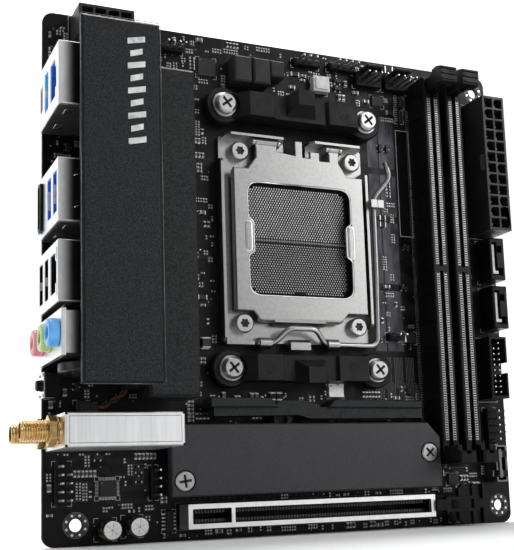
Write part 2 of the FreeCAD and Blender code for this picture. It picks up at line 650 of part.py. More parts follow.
def make_dimm_latch(x):
    """The swinging latch at the upper end of a memory slot."""
    y = DIMM_LATCH_Y
    z = DIMM_LATCH_PIVOT_Z
    top = DIMM_LATCH_H
    side = [(y - 1.8, z - 1.6), (y + 1.8, z - 1.6), (y + 3.0, z + 2.5), (y + 2.6, 14.0), (y + 3.6, 18.4),
            (y + 3.9, top - 3.0), (y + 3.1, top), (y - 2.2, top), (y - 2.7, top - 1.2), (y - 2.2, 17.4),
            (y - 1.9, 13.0), (y - 1.8, 5.0)]
    stem = prism_x(side, x - 2.0, x + 2.0)
    head = prism_x([(y - 2.2, 18.2), (y + 3.5, 18.2), (y + 3.9, top - 3.0), (y + 3.1, top), (y - 2.2, top),
                    (y - 2.7, top - 1.2)], x - 3.4, x + 3.4)
    ribs = [box(x - 3.0, x + 3.0, y - 1.7 + 2.0 * i, y - 1.1 + 2.0 * i, top - 0.1, top + 0.45) for i in range(3)]
    slit = box(x - 0.8, x + 0.8, y - 4, y - 0.9, 5.0, 20.4)
    hook = box(x - 0.8, x + 0.8, y - 2.3, y - 0.8, 15.2, 16.8)
    latch = cut(fuse([stem, head] + ribs), [slit]).fuse(hook)
    bore = rod_x(x - 4, x + 4, y, z, LATCH_BORE_R)
    return cut(latch.removeSplitter(), [bore])


# ================================================================ expansion slot
def make_pcie_slot():
    """Slot body with two grooves, a key between them and the cheeks of the latch."""
    x0, x1 = PCIE_X
    w = PCIE_HALF_W - 0.45
    body = box(x0 + 0.5, x1 - 0.4, PCIE_Y - w, PCIE_Y + w, 0, PCIE_H - 0.4)
    g = PCIE_GROOVE_HALF
    groove_a = box(x0 + 2.0, PCIE_KEY_X - 0.9, PCIE_Y - g, PCIE_Y + g, 1.5, 20)
    groove_b = box(PCIE_KEY_X + 0.9, x1 - 2.4, PCIE_Y - g, PCIE_Y + g, 1.5, 20)
    ramp_a = box(x0 + 2.0, PCIE_KEY_X - 0.9, PCIE_Y - 2.1, PCIE_Y + 2.1, PCIE_H - 2.6, 20)
    ramp_b = box(PCIE_KEY_X + 0.9, x1 - 2.4, PCIE_Y - 2.1, PCIE_Y + 2.1, PCIE_H - 2.6, 20)
    body = cut(body, [groove_a, groove_b, ramp_a, ramp_b] + pcie_contact_rows())
    cheeks = [box(x1 - 0.5, PCIE_PIVOT_X + 2.4, PCIE_Y + s * 2.75 - 0.5, PCIE_Y + s * 2.75 + 0.5, 0, 7.2)
              for s in (-1, 1)]
    floor = box(x1 - 0.5, PCIE_PIVOT_X + 2.4, PCIE_Y - 3.2, PCIE_Y + 3.2, 0, 0.9)
    pin = rod_y(PCIE_Y - 2.9, PCIE_Y + 2.9, PCIE_PIVOT_X, PCIE_PIVOT_Z, LATCH_PIN_R)
    return fuse([body, floor, pin] + cheeks)


def make_pcie_shield():
    """Folded metal shell over the slot, with openings over the grooves and side windows."""
    x0, x1 = PCIE_X
    t = 0.4
    outer = box(x0, x1, PCIE_Y - PCIE_HALF_W, PCIE_Y + PCIE_HALF_W, 2.2, PCIE_H)
    inner = box(x0 + t + 0.05, x1 - t, PCIE_Y - PCIE_HALF_W + t, PCIE_Y + PCIE_HALF_W - t, 1, PCIE_H - t)
    open_a = slab(x0 + 1.4, PCIE_KEY_X - 0.6, PCIE_Y - 2.3, PCIE_Y + 2.3, 5, 20, 0.3)
    open_b = slab(PCIE_KEY_X + 0.6, x1 - 1.6, PCIE_Y - 2.3, PCIE_Y + 2.3, 5, 20, 0.3)
    tail = box(x1 - t - 0.1, x1 + 1, PCIE_Y - PCIE_HALF_W + t, PCIE_Y + PCIE_HALF_W - t, 1, PCIE_H - 1.4)
    windows = []
    for i in range(6):
        xa = x0 + 6.0 + 14.0 * i
        windows.append(box(xa, xa + 9.0, 0, 20, 4.2, 7.6))
    edge_slots = []
    for i in range(7):
        xa = x0 + 4.0 + 12.4 * i
        for s in (-1, 1):
            y = PCIE_Y + s * (PCIE_HALF_W - 0.1)
            edge_slots.append(box(xa, xa + 6.5, y - 0.75, y + 0.75, PCIE_H - 1.5, PCIE_H - 0.75))
    return cut(outer, [inner, open_a, open_b, tail] + windows + edge_slots)


def dimm_contact_rows(x):
    """The four contact rows of one memory slot, on both sides of its groove."""
    rows = []
    for side in (-1, 1):
        near = x + side * DIMM_GROOVE_HALF
        far = x + side * (DIMM_GROOVE_HALF + CONTACT_T)
        for y_from, y_to in ((DIMM_ROW[0] + 0.4, DIMM_KEY_Y - 1.4), (DIMM_KEY_Y + 1.4, DIMM_ROW[1] - 0.4)):
            rows.append(box(min(near, far), max(near, far), y_from, y_to, 3.0, DIMM_H - 1.2))
    return rows


def pcie_contact_rows():
    """The four contact rows of the expansion slot."""
    rows = []
    for side in (-1, 1):
        near = PCIE_Y + side * PCIE_GROOVE_HALF
        far = PCIE_Y + side * (PCIE_GROOVE_HALF + CONTACT_T)
        for x_from, x_to in ((PCIE_X[0] + 2.8, PCIE_KEY_X - 1.6), (PCIE_KEY_X + 1.6, PCIE_X[1] - 3.2)):
            rows.append(box(x_from, x_to, min(near, far), max(near, far), 2.0, PCIE_H - 2.8))
    return rows


def make_slot_contacts():
    """Spring contact rows inside the memory and expansion slots."""
    return group(dimm_contact_rows(DIMM_X[0]) + dimm_contact_rows(DIMM_X[1]) + pcie_contact_rows())


def make_pcie_latch():
    """Card latch: hub on the pivot, two side rails and a wide press handle with a hook."""
    x = PCIE_PIVOT_X
    z = PCIE_PIVOT_Z
    y = PCIE_Y
    hub = rod_y(y - 1.9, y + 1.9, x, z, 2.2)
    riser = prism_y([(x - 1.7, z + 0.6), (x + 1.8, z + 0.6), (x + 3.0, 8.4), (x + 3.0, 10.4), (x - 2.4, 10.4),
                     (x - 3.2, 12.6), (x - 3.2, 11.0), (x - 2.2, 8.4)], y - 1.9, y + 1.9)
    rails = [box(x + 1.6, x + 15.2, y + s * 2.1 - 0.55, y + s * 2.1 + 0.55, 7.6, 10.4) for s in (-1, 1)]
    web = box(x + 1.6, x + 3.4, y - 2.6, y + 2.6, 7.6, 10.4)
    end_web = box(x + 13.4, x + 17.6, y - 2.6, y + 2.6, 7.6, 9.4)
    wings = []
    for s in (-1, 1):
        wing = [(x + 7.0, y + s * 2.0), (x + 17.8, y + s * 2.0), (x + 17.8, y + s * 6.9), (x + 9.0, y + s * 6.9),
                (x + 7.0, y + s * 5.2)]
        wings.append(prism_z(wing, 7.6, 9.6))
        wings.append(box(x + 16.2, x + 17.8, y + s * 4.2 - 2.6, y + s * 4.2 + 2.6, 9.4, 10.9))
        wings.append(box(x + 12.2, x + 13.4, y + s * 4.2 - 2.6, y + s * 4.2 + 2.6, 9.4, 10.4))
    latch = fuse([hub, riser, web, end_web] + rails + wings)
    return cut(latch, [rod_y(y - 5, y + 5, x, z, LATCH_BORE_R)])


# ================================================================ edge connectors
def make_sata_ports():
    """Two shrouded data ports with an L-shaped tongue in each."""
    ports = []
    for y0, y1 in ((88.6, 104.4), (70.4, 86.2)):
        body = bevel_level(box(162.3, 168.9, y0, y1, 0, 8.4), 8.4, 0.4)
        cavity = fuse([box(163.3, 165.5, y0 + 1.6, y1 - 1.6, 1.6, 20),
                       box(163.3, 167.9, y0 + 1.6, y0 + 4.4, 1.6, 20)])
        key = box(165.6, 167.6, y1 - 5.6, y1 - 3.0, 3.0, 20)
        body = cut(body, [cavity, key])
        tongue = box(163.95, 164.95, y0 + 2.4, y1 - 2.4, 1.6, 7.4).fuse(
            box(164.9, 166.4, y0 + 2.4, y0 + 3.5, 1.6, 7.4))
        ports.append(body.fuse(tongue).removeSplitter())
    return group(ports)


def make_usb_front_header():
    """Shrouded two-row header with a keying gap in its outer wall."""
    body = bevel_level(box(158.9, 166.7, 44.5, 67.1, 0, 9.0), 9.0, 0.3)
    cavity = box(160.0, 165.7, 45.5, 66.1, 2.0, 20)
    gap = box(165.0, 168.0, 53.8, 57.6, 2.0, 20)
    return cut(body, [cavity, gap])


def make_type_c_header():
    """Metal-shelled front panel connector with a central tongue."""
    shell = slab(160.1, 164.7, 14.6, 27.7, 0, 7.2, 0.6)
    cavity = slab(160.7, 164.1, 15.2, 27.1, 1.0, 20, 0.5)
    notch = [box(159, 166, y, y + 2.4, 4.6, 20) for y in (16.4, 23.4)]
    tongue = box(161.9, 162.9, 16.0, 26.3, 0.9, 6.6)
    return fuse([cut(shell, [cavity] + notch), tongue])


def header_sites():
    """Bare pin headers: x, y of the first pin, columns, rows, pitch, and the pins left out."""
    return [
        (161.9, 29.9, 2, 5, 2.54, [(1, 0)]),
        (4.6, 13.9, 2, 5, 2.54, [(1, 4)]),
        (34.6, 14.6, 1, 4, 2.54, []),
        (39.8, 163.2, 4, 1, 2.0, []),
        (89.4, 165.3, 4, 1, 2.54, [(3, 0)]),
        (103.4, 165.5, 4, 1, 2.54, []),
        (122.6, 67.0, 2, 1, 2.54, []),
    ]


def make_pin_header_bases():
    bases = []
    for x, y, columns, rows, pitch, _ in header_sites():
        h = pitch / 2
        x1 = x + (columns - 1) * pitch + h
        y1 = y + (rows - 1) * pitch + h
        bases.append(bevel_level(box(x - h, x1, y - h, y1, 0, 2.5), 2.5, 0.3))
    return group(bases)


def make_header_pins():
    """Square pins of the shrouded front panel header, the bare headers and the fan headers."""
    shrouded = [(x, 46.9 + 2.0 * i) for i in range(10) for x in (161.8, 164.0) if (i, x) != (9, 161.8)]
    fan = [(x0 + 1.4 + 2.54 * i, 162.0) for x0 in FAN_X for i in range(4)]
    points = []
    for x, y, columns, rows, pitch, left_out in header_sites():
        for i in range(columns):
            for j in range(rows):
                if (i, j) not in left_out:
                    points.append((x + i * pitch, y + j * pitch))
    low = -BOARD_T - 1.2
    return group([pin_heads(shrouded, low, 7.6, 0.28), pin_heads(points, low, 8.4, 0.32),
                  pin_heads(fan, low, 10.6, 0.32)])


def make_fan_headers():
    """Four-pin fan headers: base with a tall guide wall on the outer side."""
    bodies = []
    for x0 in FAN_X:
        base = box(x0, x0 + 10.4, 159.4, 164.6, 0, 2.8)
        wall = bevel_level(box(x0 + 1.6, x0 + 7.8, 164.2, 165.4, 0, 9.0), 9.0, 0.3)
        bodies.append(fuse([base, wall]))
    return group(bodies)


# ================================================================ rear ports
def port_shell(y0, y1, height, depth, openings):
    """A folded metal port shell, hollow behind its face, with the given openings."""
    shell = box(PORT_FACE, depth, y0, y1, 0.2, height)
    return cut(shell, openings)


def usb_a_opening(y_mid, z_mid):
    return box(PORT_FACE - 1, 11.5, y_mid - 6.25, y_mid + 6.25, z_mid - 2.56, z_mid + 2.56)


def usb_a_tongue(y_mid, z_mid):
    return box(1.2, 11.5, y_mid - 5.6, y_mid + 5.6, z_mid + 0.1, z_mid + 1.9)


def jack_opening(y_mid, z0):
    """A modular jack mouth with its latch step and contact side."""
    return fuse([box(PORT_FACE - 1, 13.0, y_mid - 5.9, y_mid + 5.9, z0, z0 + 6.6),
                 box(PORT_FACE - 1, 13.0, y_mid - 3.2, y_mid + 3.2, z0 + 6.5, z0 + 8.2)])


def make_usb_shell_a():
    y0, y1, height, depth = USB_STACK_A
    mid = (y0 + y1) / 2
    type_c = slab_x(PORT_FACE - 1, 8.5, mid - 4.5, mid + 4.5, 2.3, 5.5, 1.55)
    return port_shell(y0, y1, height, depth, [type_c, usb_a_opening(mid, 11.4), jack_opening(mid, 17.3)])


def slab_x(x0, x1, y0, y1, z0, z1, r):
    """A block along x with four rounded long edges."""
    flat = slab(y0, y1, z0, z1, 0, x1 - x0, r)
    turn = FreeCAD.Matrix(0, 0, 1, x0, 1, 0, 0, 0, 0, 1, 0, 0, 0, 0, 0, 1)
    return flat.transformGeometry(turn)


def make_usb_shell_b():
    y0, y1, height, depth = USB_STACK_B
    mid = (y0 + y1) / 2
    display = slab_x(PORT_FACE - 1, 9.5, mid - 7.6, mid + 7.6, 2.0, 6.6, 0.6)
    slit = box(PORT_FACE - 1, 6.0, mid - 5.2, mid + 5.2, 8.6, 9.4)
    return port_shell(y0, y1, height, depth,
                      [display, slit, usb_a_opening(mid, 15.6), usb_a_opening(mid, 23.6)])


def make_lan_shell():
    y0, y1, height, depth = LAN_STACK
    mid = (y0 + y1) / 2
    windows = [box(PORT_FACE - 1, 1.5, mid + s * 5.4 - 1.8, mid + s * 5.4 + 1.8, 25.7, 26.6) for s in (-1, 1)]
    return port_shell(y0, y1, height, depth,
                      [usb_a_opening(mid, 3.4), usb_a_opening(mid, 11.4), jack_opening(mid, 17.2)] + windows)


def make_port_tongues():
    """The plastic contact tongues inside the rear ports."""
    parts = []
    mid = sum(USB_STACK_A[:2]) / 2
    parts.append(box(0.4, 8.5, mid - 3.3, mid + 3.3, 3.55, 4.25))
    parts.append(usb_a_tongue(mid, 11.4))
    parts.append(box(9.0, 13.0, mid - 4.2, mid + 4.2, 18.6, 20.4))
    mid = sum(USB_STACK_B[:2]) / 2
    parts.append(usb_a_tongue(mid, 15.6))
    parts.append(usb_a_tongue(mid, 23.6))
    parts.append(box(1.0, 7.6, mid - 5.6, mid + 5.6, 4.0, 4.9))
    mid = sum(LAN_STACK[:2]) / 2
    parts.append(usb_a_tongue(mid, 3.4))
    parts.append(usb_a_tongue(mid, 11.4))
    parts.append(box(9.0, 13.0, mid - 4.2, mid + 4.2, 18.5, 20.3))
    return group(parts)


def make_display_bezel():
    """The black plastic connector that stands proud near the board."""
    mid = sum(USB_STACK_B[:2]) / 2
    outer = slab_x(-1.9, 8.6, mid - 7.5, mid + 7.5, 2.1, 6.5, 0.5)
    inner = slab_x(-3.0, 7.6, mid - 6.6, mid + 6.6, 2.9, 5.7, 0.3)
    return cut(outer, [inner])


def make_audio_body():
    y0, y1, height, depth = AUDIO_STACK
    body = box(0.4, depth, y0, y1, 0.2, height)
    bores = [rod_x(-3, depth + 1, AUDIO_JACK_Y, z, AUDIO_BORE_R + 1.6) for z in AUDIO_JACK_Z]
    return cut(body, bores)


def make_audio_bracket():
    """The metal face plate in front of the audio stack."""
    y0, y1, height = AUDIO_STACK[:3]
    face = box(PORT_FACE, 0.35, y0 - 0.4, y1 + 0.4, 0.2, height + 0.3)
    holes = [rod_x(-3, 3, AUDIO_JACK_Y, z, AUDIO_BORE_R + 1.65) for z in AUDIO_JACK_Z]
    return cut(face, holes)


def make_audio_sleeves():
    """Colour-coded jack sleeves with the plug bore down the middle."""
    sleeves = []
    for z in AUDIO_JACK_Z:
        barrel = rod_x(PORT_FACE - 0.05, 11.6, AUDIO_JACK_Y, z, AUDIO_BORE_R + 1.5)
        collar = rod_x(AUDIO_TIP, PORT_FACE - 0.05, AUDIO_JACK_Y, z, AUDIO_SLEEVE_R)
        rim = [e for e in collar.Edges if all(abs(v.X - AUDIO_TIP) < 1e-4 for v in e.Vertexes)]
        collar = collar.makeChamfer(0.5, rim[:1])
        sleeves.append(cut(barrel.fuse(collar), [rod_x(-6, 11.0, AUDIO_JACK_Y, z, AUDIO_BORE_R)]))
    return group(sleeves)


def make_button_body():
    """Side-facing push switch on the rear edge."""
    y = BUTTON_Y
    body = box(-0.6, 4.4, y - 3.9, y + 3.9, 0, 6.8)
    well = rod_x(-3, 3.2, y, BUTTON_Z, BUTTON_STEM_R + 0.3)
    rim = cut(box(-0.9, -0.55, y - 3.9, y + 3.9, 0.3, 6.8), [rod_x(-3, 3, y, BUTTON_Z, BUTTON_STEM_R + 0.3)])
    rivets = [rod_x(-1.15, -0.8, y + sy * 3.0, BUTTON_Z + sz * 2.5, 0.45) for sy in (-1, 1) for sz in (-1, 1)]
    return fuse([cut(body, [well]), rim] + rivets)


def make_button_stem():
    """The plunger, which slides inwards when pressed."""
    stem = rod_x(-2.6, 2.6, BUTTON_Y, BUTTON_Z, BUTTON_STEM_R)
    rim = [e for e in stem.Edges if all(abs(v.X + 2.6) < 1e-4 for v in e.Vertexes)]
    return stem.makeChamfer(0.35, rim[:1])


# ================================================================ wireless module
def make_wifi_can():
    """Metal can standing on the board with the wireless card inside."""
    x0, x1 = WIFI_X
    y0, y1 = WIFI_Y
    outer = bevel_level(box(x0, x1, y0, y1, 0.2, WIFI_H), WIFI_H, 0.35)
    inner = box(x0 + 0.5, x1 - 0.5, y0 + 0.5, y1 - 0.5, -1, WIFI_H - 0.5)
    lid_gap = [box(x0 + 1.6, x0 + 2.4, y0 + s, y0 + s + 1.6, WIFI_H - 0.6, WIFI_H + 1) for s in (0.9, 7.4)]
    lid_gap += [box(x1 - 2.4, x1 - 1.6, y0 + s, y0 + s + 1.6, WIFI_H - 0.6, WIFI_H + 1) for s in (0.9, 7.4)]
    jacks = [rod_x(x0 - 1, x0 + 1, ANTENNA_Y, z, 3.0) for z in ANTENNA_Z]
    return cut(outer, [inner] + lid_gap + jacks)


def make_wifi_card():
    """The wireless card that stands in the can, with its edge socket."""
    board = box(4.6, 34.6, 32.6, 33.4, 3.0, 25.0)
    chip = box(12.0, 26.0, 33.4, 34.8, 8.0, 20.0)
    return fuse([board, chip])


def make_antenna_jacks():
    """Two threaded coaxial jacks through the can's rear wall."""
    jacks = []
    for z in ANTENNA_Z:
        barrel = rod_x(ANTENNA_TIP, ANTENNA_NECK_X, ANTENNA_Y, z, ANTENNA_R)
        neck = rod_x(ANTENNA_NECK_X, 0.7, ANTENNA_Y, z, ANTENNA_NECK_R)
        tail = rod_x(0.65, 3.4, ANTENNA_Y, z, 2.5)
        mouth = rod_x(ANTENNA_TIP - 1, ANTENNA_TIP + 8.0, ANTENNA_Y, z, 2.3)
        core = rod_x(ANTENNA_TIP + 1.2, 0.0, ANTENNA_Y, z, 1.15)
        socket = rod_x(ANTENNA_TIP, ANTENNA_TIP + 5.0, ANTENNA_Y, z, 0.5)
        jacks.append(cut(fuse([cut(fuse([barrel, neck, tail]), [mouth]), core]), [socket]))
    return group(jacks)


def hex_prism_x(x0, x1, y, z, across):
    """A hexagonal prism along x."""
    r = across / math.sqrt(3)
    points = [(y + r * math.cos(math.radians(60 * i)), z + r * math.sin(math.radians(60 * i))) for i in range(6)]
    return prism_x(points, x0, x1)


def make_antenna_nuts():
    nuts = []
    for z in ANTENNA_Z:
        nut = hex_prism_x(-2.9, -0.75, ANTENNA_Y, z, 8.0)
        nuts.append(cut(nut, [rod_x(-5, 3, ANTENNA_Y, z, ANTENNA_NECK_R)]))
    return group(nuts)


def make_antenna_washers():
    """Toothed lock washers between the nuts and the can."""
    washers = []
    for z in ANTENNA_Z:
        disc = rod_x(-0.7, -0.1, ANTENNA_Y, z, 4.4)
        flange = rod_x(-0.1, 0.85, ANTENNA_Y, z, 4.0)
        washers.append(cut(fuse([disc, flange]), [rod_x(-5, 3, ANTENNA_Y, z, ANTENNA_NECK_R)]))
    return group(washers)


# ================================================================ battery
def make_battery():
    """Coin cell in a shrink sleeve, stuck to the side of the audio stack."""
    cell = rod_y(BATTERY_Y[0], BATTERY_Y[1], BATTERY_X, BATTERY_Z, BATTERY_R)
    return cell.makeChamfer(0.5, [e for e in cell.Edges if len(e.Vertexes) == 1])


def make_battery_lead():
    """The twisted pair from the cell to its plug."""
    return tube(LEAD_POINTS, LEAD_R, None)


def make_battery_plug():
    """Two-pin plug in its board header."""
    header = cut(box(9.8, 14.2, 39.5, 43.9, 0, 3.4), [box(10.4, 15, 40.1, 43.3, 0.7, 5)])
    plug = box(10.5, 16.4, 40.2, 43.2, 0.8, 3.8)
    return group([header, plug])


# ================================================================ storage and chipset coolers
def make_m2_heatsink():
    """Flat cooling plate over the storage module."""
    z0, z1 = M2_PLATE_Z
    outline = [(37.4, 13.6), (134.7, 13.6), (134.7, 30.9), (129.8, 36.0), (37.4, 36.0)]
    plate = bevel_level(prism_z(outline, z0, z1), z1, 0.45)
    sinks = [post(x, y, z1 - 0.9, z1 + 1, 3.5) for x, y in M2_SCREWS]
    holes = [post(x, y, z0 - 1, z1 + 1, 1.6) for x, y in M2_SCREWS]
    return cut(plate, sinks + holes)


def make_m2_screws():
    """Cross-head screws of the storage cooler."""
    screws = []
    for x, y in M2_SCREWS:
        top = M2_PLATE_Z[1] + 0.5
        head = bevel_level(post(x, y, M2_PLATE_Z[1] - 0.9, top, 3.1), top, 0.35)
        shank = post(x, y, 1.0, M2_PLATE_Z[1] - 0.9, 1.4)
        slots = [box(x - 2.0, x + 2.0, y - 0.4, y + 0.4, top - 1.0, top + 1),
                 box(x - 0.4, x + 0.4, y - 2.0, y + 2.0, top - 1.0, top + 1)]
        turned = [s.rotated(Vector(x, y, 0), Vector(0, 0, 1), 45 if x > 80 else 8) for s in slots]
        screws.append(cut(fuse([head, shank]), turned))
    return group(screws)


def make_m2_standoffs():
    """Threaded standoffs under the cooler plate and at the module's end."""
    posts = [post(x, y, 0, M2_PLATE_Z[0], 2.6) for x, y in M2_SCREWS]
    posts.append(post(43.5, 24.9, 0, 2.4, 2.5))
    bores = [post(x, y, 0.9, 20, 1.45) for x, y in M2_SCREWS] + [post(43.5, 24.9, 0.5, 20, 1.0)]
    return group([cut(p, [b]) for p, b in zip(posts, bores)])


def make_card_sockets():
    """Edge sockets of the storage module and of the wireless card."""
    storage = bevel_level(box(119.6, 124.8, 13.9, 35.8, 0, 4.2), 4.2, 0.3)
    storage = cut(storage, [box(118, 123.4, 14.9, 34.8, 2.0, 2.95)])
    wireless = cut(box(4.0, 35.2, 31.0, 35.6, 0, 4.2), [box(4.4, 34.8, 32.55, 33.45, 1.5, 10)])
    return group([storage, wireless])


def make_chipset_heatsink():
    """Low black heatsink with two stepped bars and a diagonal centre."""
    z = 9.0
    left = prism_z([(50.9, 41.4), (50.9, 44.4), (71.6, 44.4), (74.4, 41.4)], 2.4, z + 1.2)
    right = prism_z([(92.2, 41.2), (95.0, 43.8), (128.6, 43.4), (128.6, 41.0)], 2.4, z + 1.2)
    deck = prism_z([(52.2, 38.6), (52.2, 41.6), (72.6, 41.6), (76.0, 43.6), (84.0, 43.6), (90.0, 41.4),
                    (129.0, 41.2), (129.0, 37.6), (86.0, 37.6), (82.0, 38.8), (73.6, 38.8)], 2.4, z)
    boss = post(77.2, 37.4, 2.4, 6.2, 3.2)
    solid = fuse([left, right, deck, boss])
    return bevel_level(cut(solid, [post(77.2, 37.4, 4.4, 7, 1.7)]), z + 1.2, 0.3)


def make_controller_chips():
    """Chip packages, the chipset under its heatsink among them."""
    sites = [
        (16.4, 23.4, 13.9, 20.3, 1.5), (119.6, 124.6, 152.8, 156.9, 1.0), (129.9, 133.2, 153.6, 157.8, 1.4),
        (129.7, 132.7, 147.9, 152.2, 1.4), (37.6, 41.4, 3.0, 9.4, 1.5), (143.4, 147.8, 14.4, 18.2, 1.0),
        (97.2, 103.0, 45.4, 50.2, 1.0), (95.0, 101.4, 154.8, 160.6, 3.6), (52.2, 58.8, 155.4, 162.0, 1.0),
        (143.6, 147.2, 1.4, 4.6, 1.0), (98.0, 121.0, 37.8, 43.0, 2.3),
        (128.2, 133.4, 65.0, 68.8, 1.6), (47.4, 51.4, 27.4, 29.8, 1.0),
    ]
    return group([chamfered_block(x0, x1, y0, y1, 0.1, h, 0.15) for x0, x1, y0, y1, h in sites])


def make_capacitors():
    """Standing electrolytic capacitors on the lower edge."""
    cans = []
    for x, y in ((19.2, 4.6), (27.6, 5.2)):
        can = bevel_level(post(x, y, 0.2, 9.0, 3.1), 9.0, 0.4)
        groove = cut(post(x, y, 1.6, 2.3, 4.0), [post(x, y, 1.5, 2.4, 2.8)])
        cans.append(cut(can, [groove]))
    return group(cans)


# ================================================================ output
def parts():
    """Node name to the function that makes it."""
    table = {
        "pcb": make_pcb,
        "socket_housing": make_socket_housing,
        "socket_contacts": make_socket_contacts,
        "socket_frame": make_socket_frame,
        "load_plate": make_load_plate,
        "socket_lever": make_lever,
        "socket_frame_screws": make_frame_screws,
        "backplate": make_backplate,
        "backplate_sheet": make_backplate_sheet,
        "cooler_bracket_upper": lambda: make_bracket(1),
        "cooler_bracket_lower": lambda: make_bracket(-1),
        "cooler_bracket_screws": make_bracket_screws,
        "vrm_heatsink": make_vrm_heatsink,
        "vrm_heatsink_screws": make_heatsink_screws,
        "vrm_thermal_pads": make_vrm_pads,
        "vrm_power_stages": make_power_stages,
        "vrm_chokes": make_vrm_chokes,
        "main_power_header": make_atx_header,
        "cpu_power_header": make_eps_header,
        "power_header_pins": make_power_pins,
        "slot_contacts": make_slot_contacts,
        "expansion_slot": make_pcie_slot,
        "expansion_slot_shield": make_pcie_shield,
        "expansion_slot_latch": make_pcie_latch,
        "sata_ports": make_sata_ports,
        "front_usb_header": make_usb_front_header,
        "front_type_c_header": make_type_c_header,
        "pin_header_bases": make_pin_header_bases,
        "header_pins": make_header_pins,
        "fan_headers": make_fan_headers,
        "usb_port_shell_upper": make_usb_shell_a,
        "usb_port_shell_middle": make_usb_shell_b,
        "lan_port_shell": make_lan_shell,
        "display_port_bezel": make_display_bezel,
        "rear_port_tongues": make_port_tongues,
        "audio_jack_body": make_audio_body,
        "audio_jack_plate": make_audio_bracket,
        "audio_jack_sleeves": make_audio_sleeves,
        "rear_button_body": make_button_body,
        "rear_button_plunger": make_button_stem,
        "wifi_can": make_wifi_can,
        "wifi_card": make_wifi_card,
        "antenna_jacks": make_antenna_jacks,
        "antenna_nuts": make_antenna_nuts,
        "antenna_washers": make_antenna_washers,
        "battery": make_battery,
        "battery_lead": make_battery_lead,
        "battery_plug": make_battery_plug,
        "m2_heatsink": make_m2_heatsink,
        "m2_heatsink_screws": make_m2_screws,
        "m2_standoffs": make_m2_standoffs,
        "card_sockets": make_card_sockets,
        "chipset_heatsink": make_chipset_heatsink,
        "controller_chips": make_controller_chips,
        "capacitors": make_capacitors,
    }
    for number, x in enumerate(DIMM_X, start=1):
        table["memory_slot_%d" % number] = lambda x=x: make_dimm_slot(x)
        table["memory_latch_%d" % number] = lambda x=x: make_dimm_latch(x)
    return table


def place_in_row(shape):
    """Stands the bench model upright with its components facing -Y."""
    upright = shape.rotated(Vector(0, 0, 0), Vector(1, 0, 0), 90)
    return upright.translated(Vector(-ORIGIN_X, -BOARD_T, -ORIGIN_Y))


def main():
    os.makedirs("parts", exist_ok=True)
    for name, make in parts().items():
        shape = place_in_row(make())
        print(name, "solids", len(shape.Solids), "valid", shape.isValid(), "volume", round(shape.Volume, 1))
        shape.exportStep("parts/%s.step" % name)


main()
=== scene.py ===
"""The looks of a small desktop computer motherboard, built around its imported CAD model.

Pieces are made in bench millimetres, with the board lying flat: x runs from the rear
port edge, y from the expansion slot edge, and z out of the component side. bench()
turns them into the frame's metres, and measures() reads a CAD node in the same way.
"""

import itertools
import math
import random

import bmesh
import bpy
from mathutils import Matrix, Vector


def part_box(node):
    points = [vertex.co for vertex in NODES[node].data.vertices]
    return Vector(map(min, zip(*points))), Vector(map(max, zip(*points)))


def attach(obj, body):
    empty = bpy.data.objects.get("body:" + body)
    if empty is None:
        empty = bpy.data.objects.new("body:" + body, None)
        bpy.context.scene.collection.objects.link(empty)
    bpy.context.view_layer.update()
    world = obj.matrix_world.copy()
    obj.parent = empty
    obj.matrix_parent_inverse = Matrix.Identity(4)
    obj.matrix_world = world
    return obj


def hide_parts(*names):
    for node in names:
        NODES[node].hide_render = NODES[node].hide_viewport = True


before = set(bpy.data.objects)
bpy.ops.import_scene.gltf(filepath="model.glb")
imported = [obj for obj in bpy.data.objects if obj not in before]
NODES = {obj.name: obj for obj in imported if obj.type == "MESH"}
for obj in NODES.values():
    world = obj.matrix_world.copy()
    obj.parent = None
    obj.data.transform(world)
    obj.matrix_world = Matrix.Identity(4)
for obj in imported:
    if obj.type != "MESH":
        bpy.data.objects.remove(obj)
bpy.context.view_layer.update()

MM = 0.001
BOARD_LOW, BOARD_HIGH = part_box("pcb")
BOARD_SIDE = (BOARD_HIGH.x - BOARD_LOW.x) / MM
BOARD_T = (BOARD_HIGH.y - BOARD_LOW.y) / MM


# ================================================================ places
def bench(x, y, z):
    """A point in bench millimetres, in the frame's metres."""
    return Vector((BOARD_LOW.x + x * MM, BOARD_LOW.y - z * MM, BOARD_LOW.z + y * MM))


def to_bench(p):
    """A point in the frame's metres, in bench millimetres."""
    return ((p.x - BOARD_LOW.x) / MM, (p.z - BOARD_LOW.z) / MM, (BOARD_LOW.y - p.y) / MM)


def measures(node):
    """A CAD node's box in bench millimetres: x0, x1, y0, y1, z0, z1."""
    low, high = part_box(node)
    x0, y0, z1 = to_bench(low)
    x1, y1, z0 = to_bench(high)
    return x0, x1, y0, y1, z0, z1


def solids_of(node):
    """The box of each separate solid of a CAD node, in bench millimetres, by x and then y."""
    mesh = NODES[node].data
    owner = {}

    def root(i):
        while owner[i] != i:
            owner[i] = owner[owner[i]]
            i = owner[i]
        return i

    places = {}
    same = []
    for v in mesh.vertices:
        key = tuple(round(c * 1e6) for c in v.co)
        same.append(places.setdefault(key, v.index))
        owner.setdefault(same[-1], same[-1])
    for polygon in mesh.polygons:
        first = root(same[polygon.vertices[0]])
        for i in polygon.vertices[1:]:
            owner[root(same[i])] = first
    groups = {}
    for v in mesh.vertices:
        groups.setdefault(root(same[v.index]), []).append(to_bench(v.co))
    boxes = []
    for points in groups.values():
        spans = [(min(c), max(c)) for c in zip(*points)]
        boxes.append(tuple(round(c, 3) for span in spans for c in span))
    return sorted(boxes)


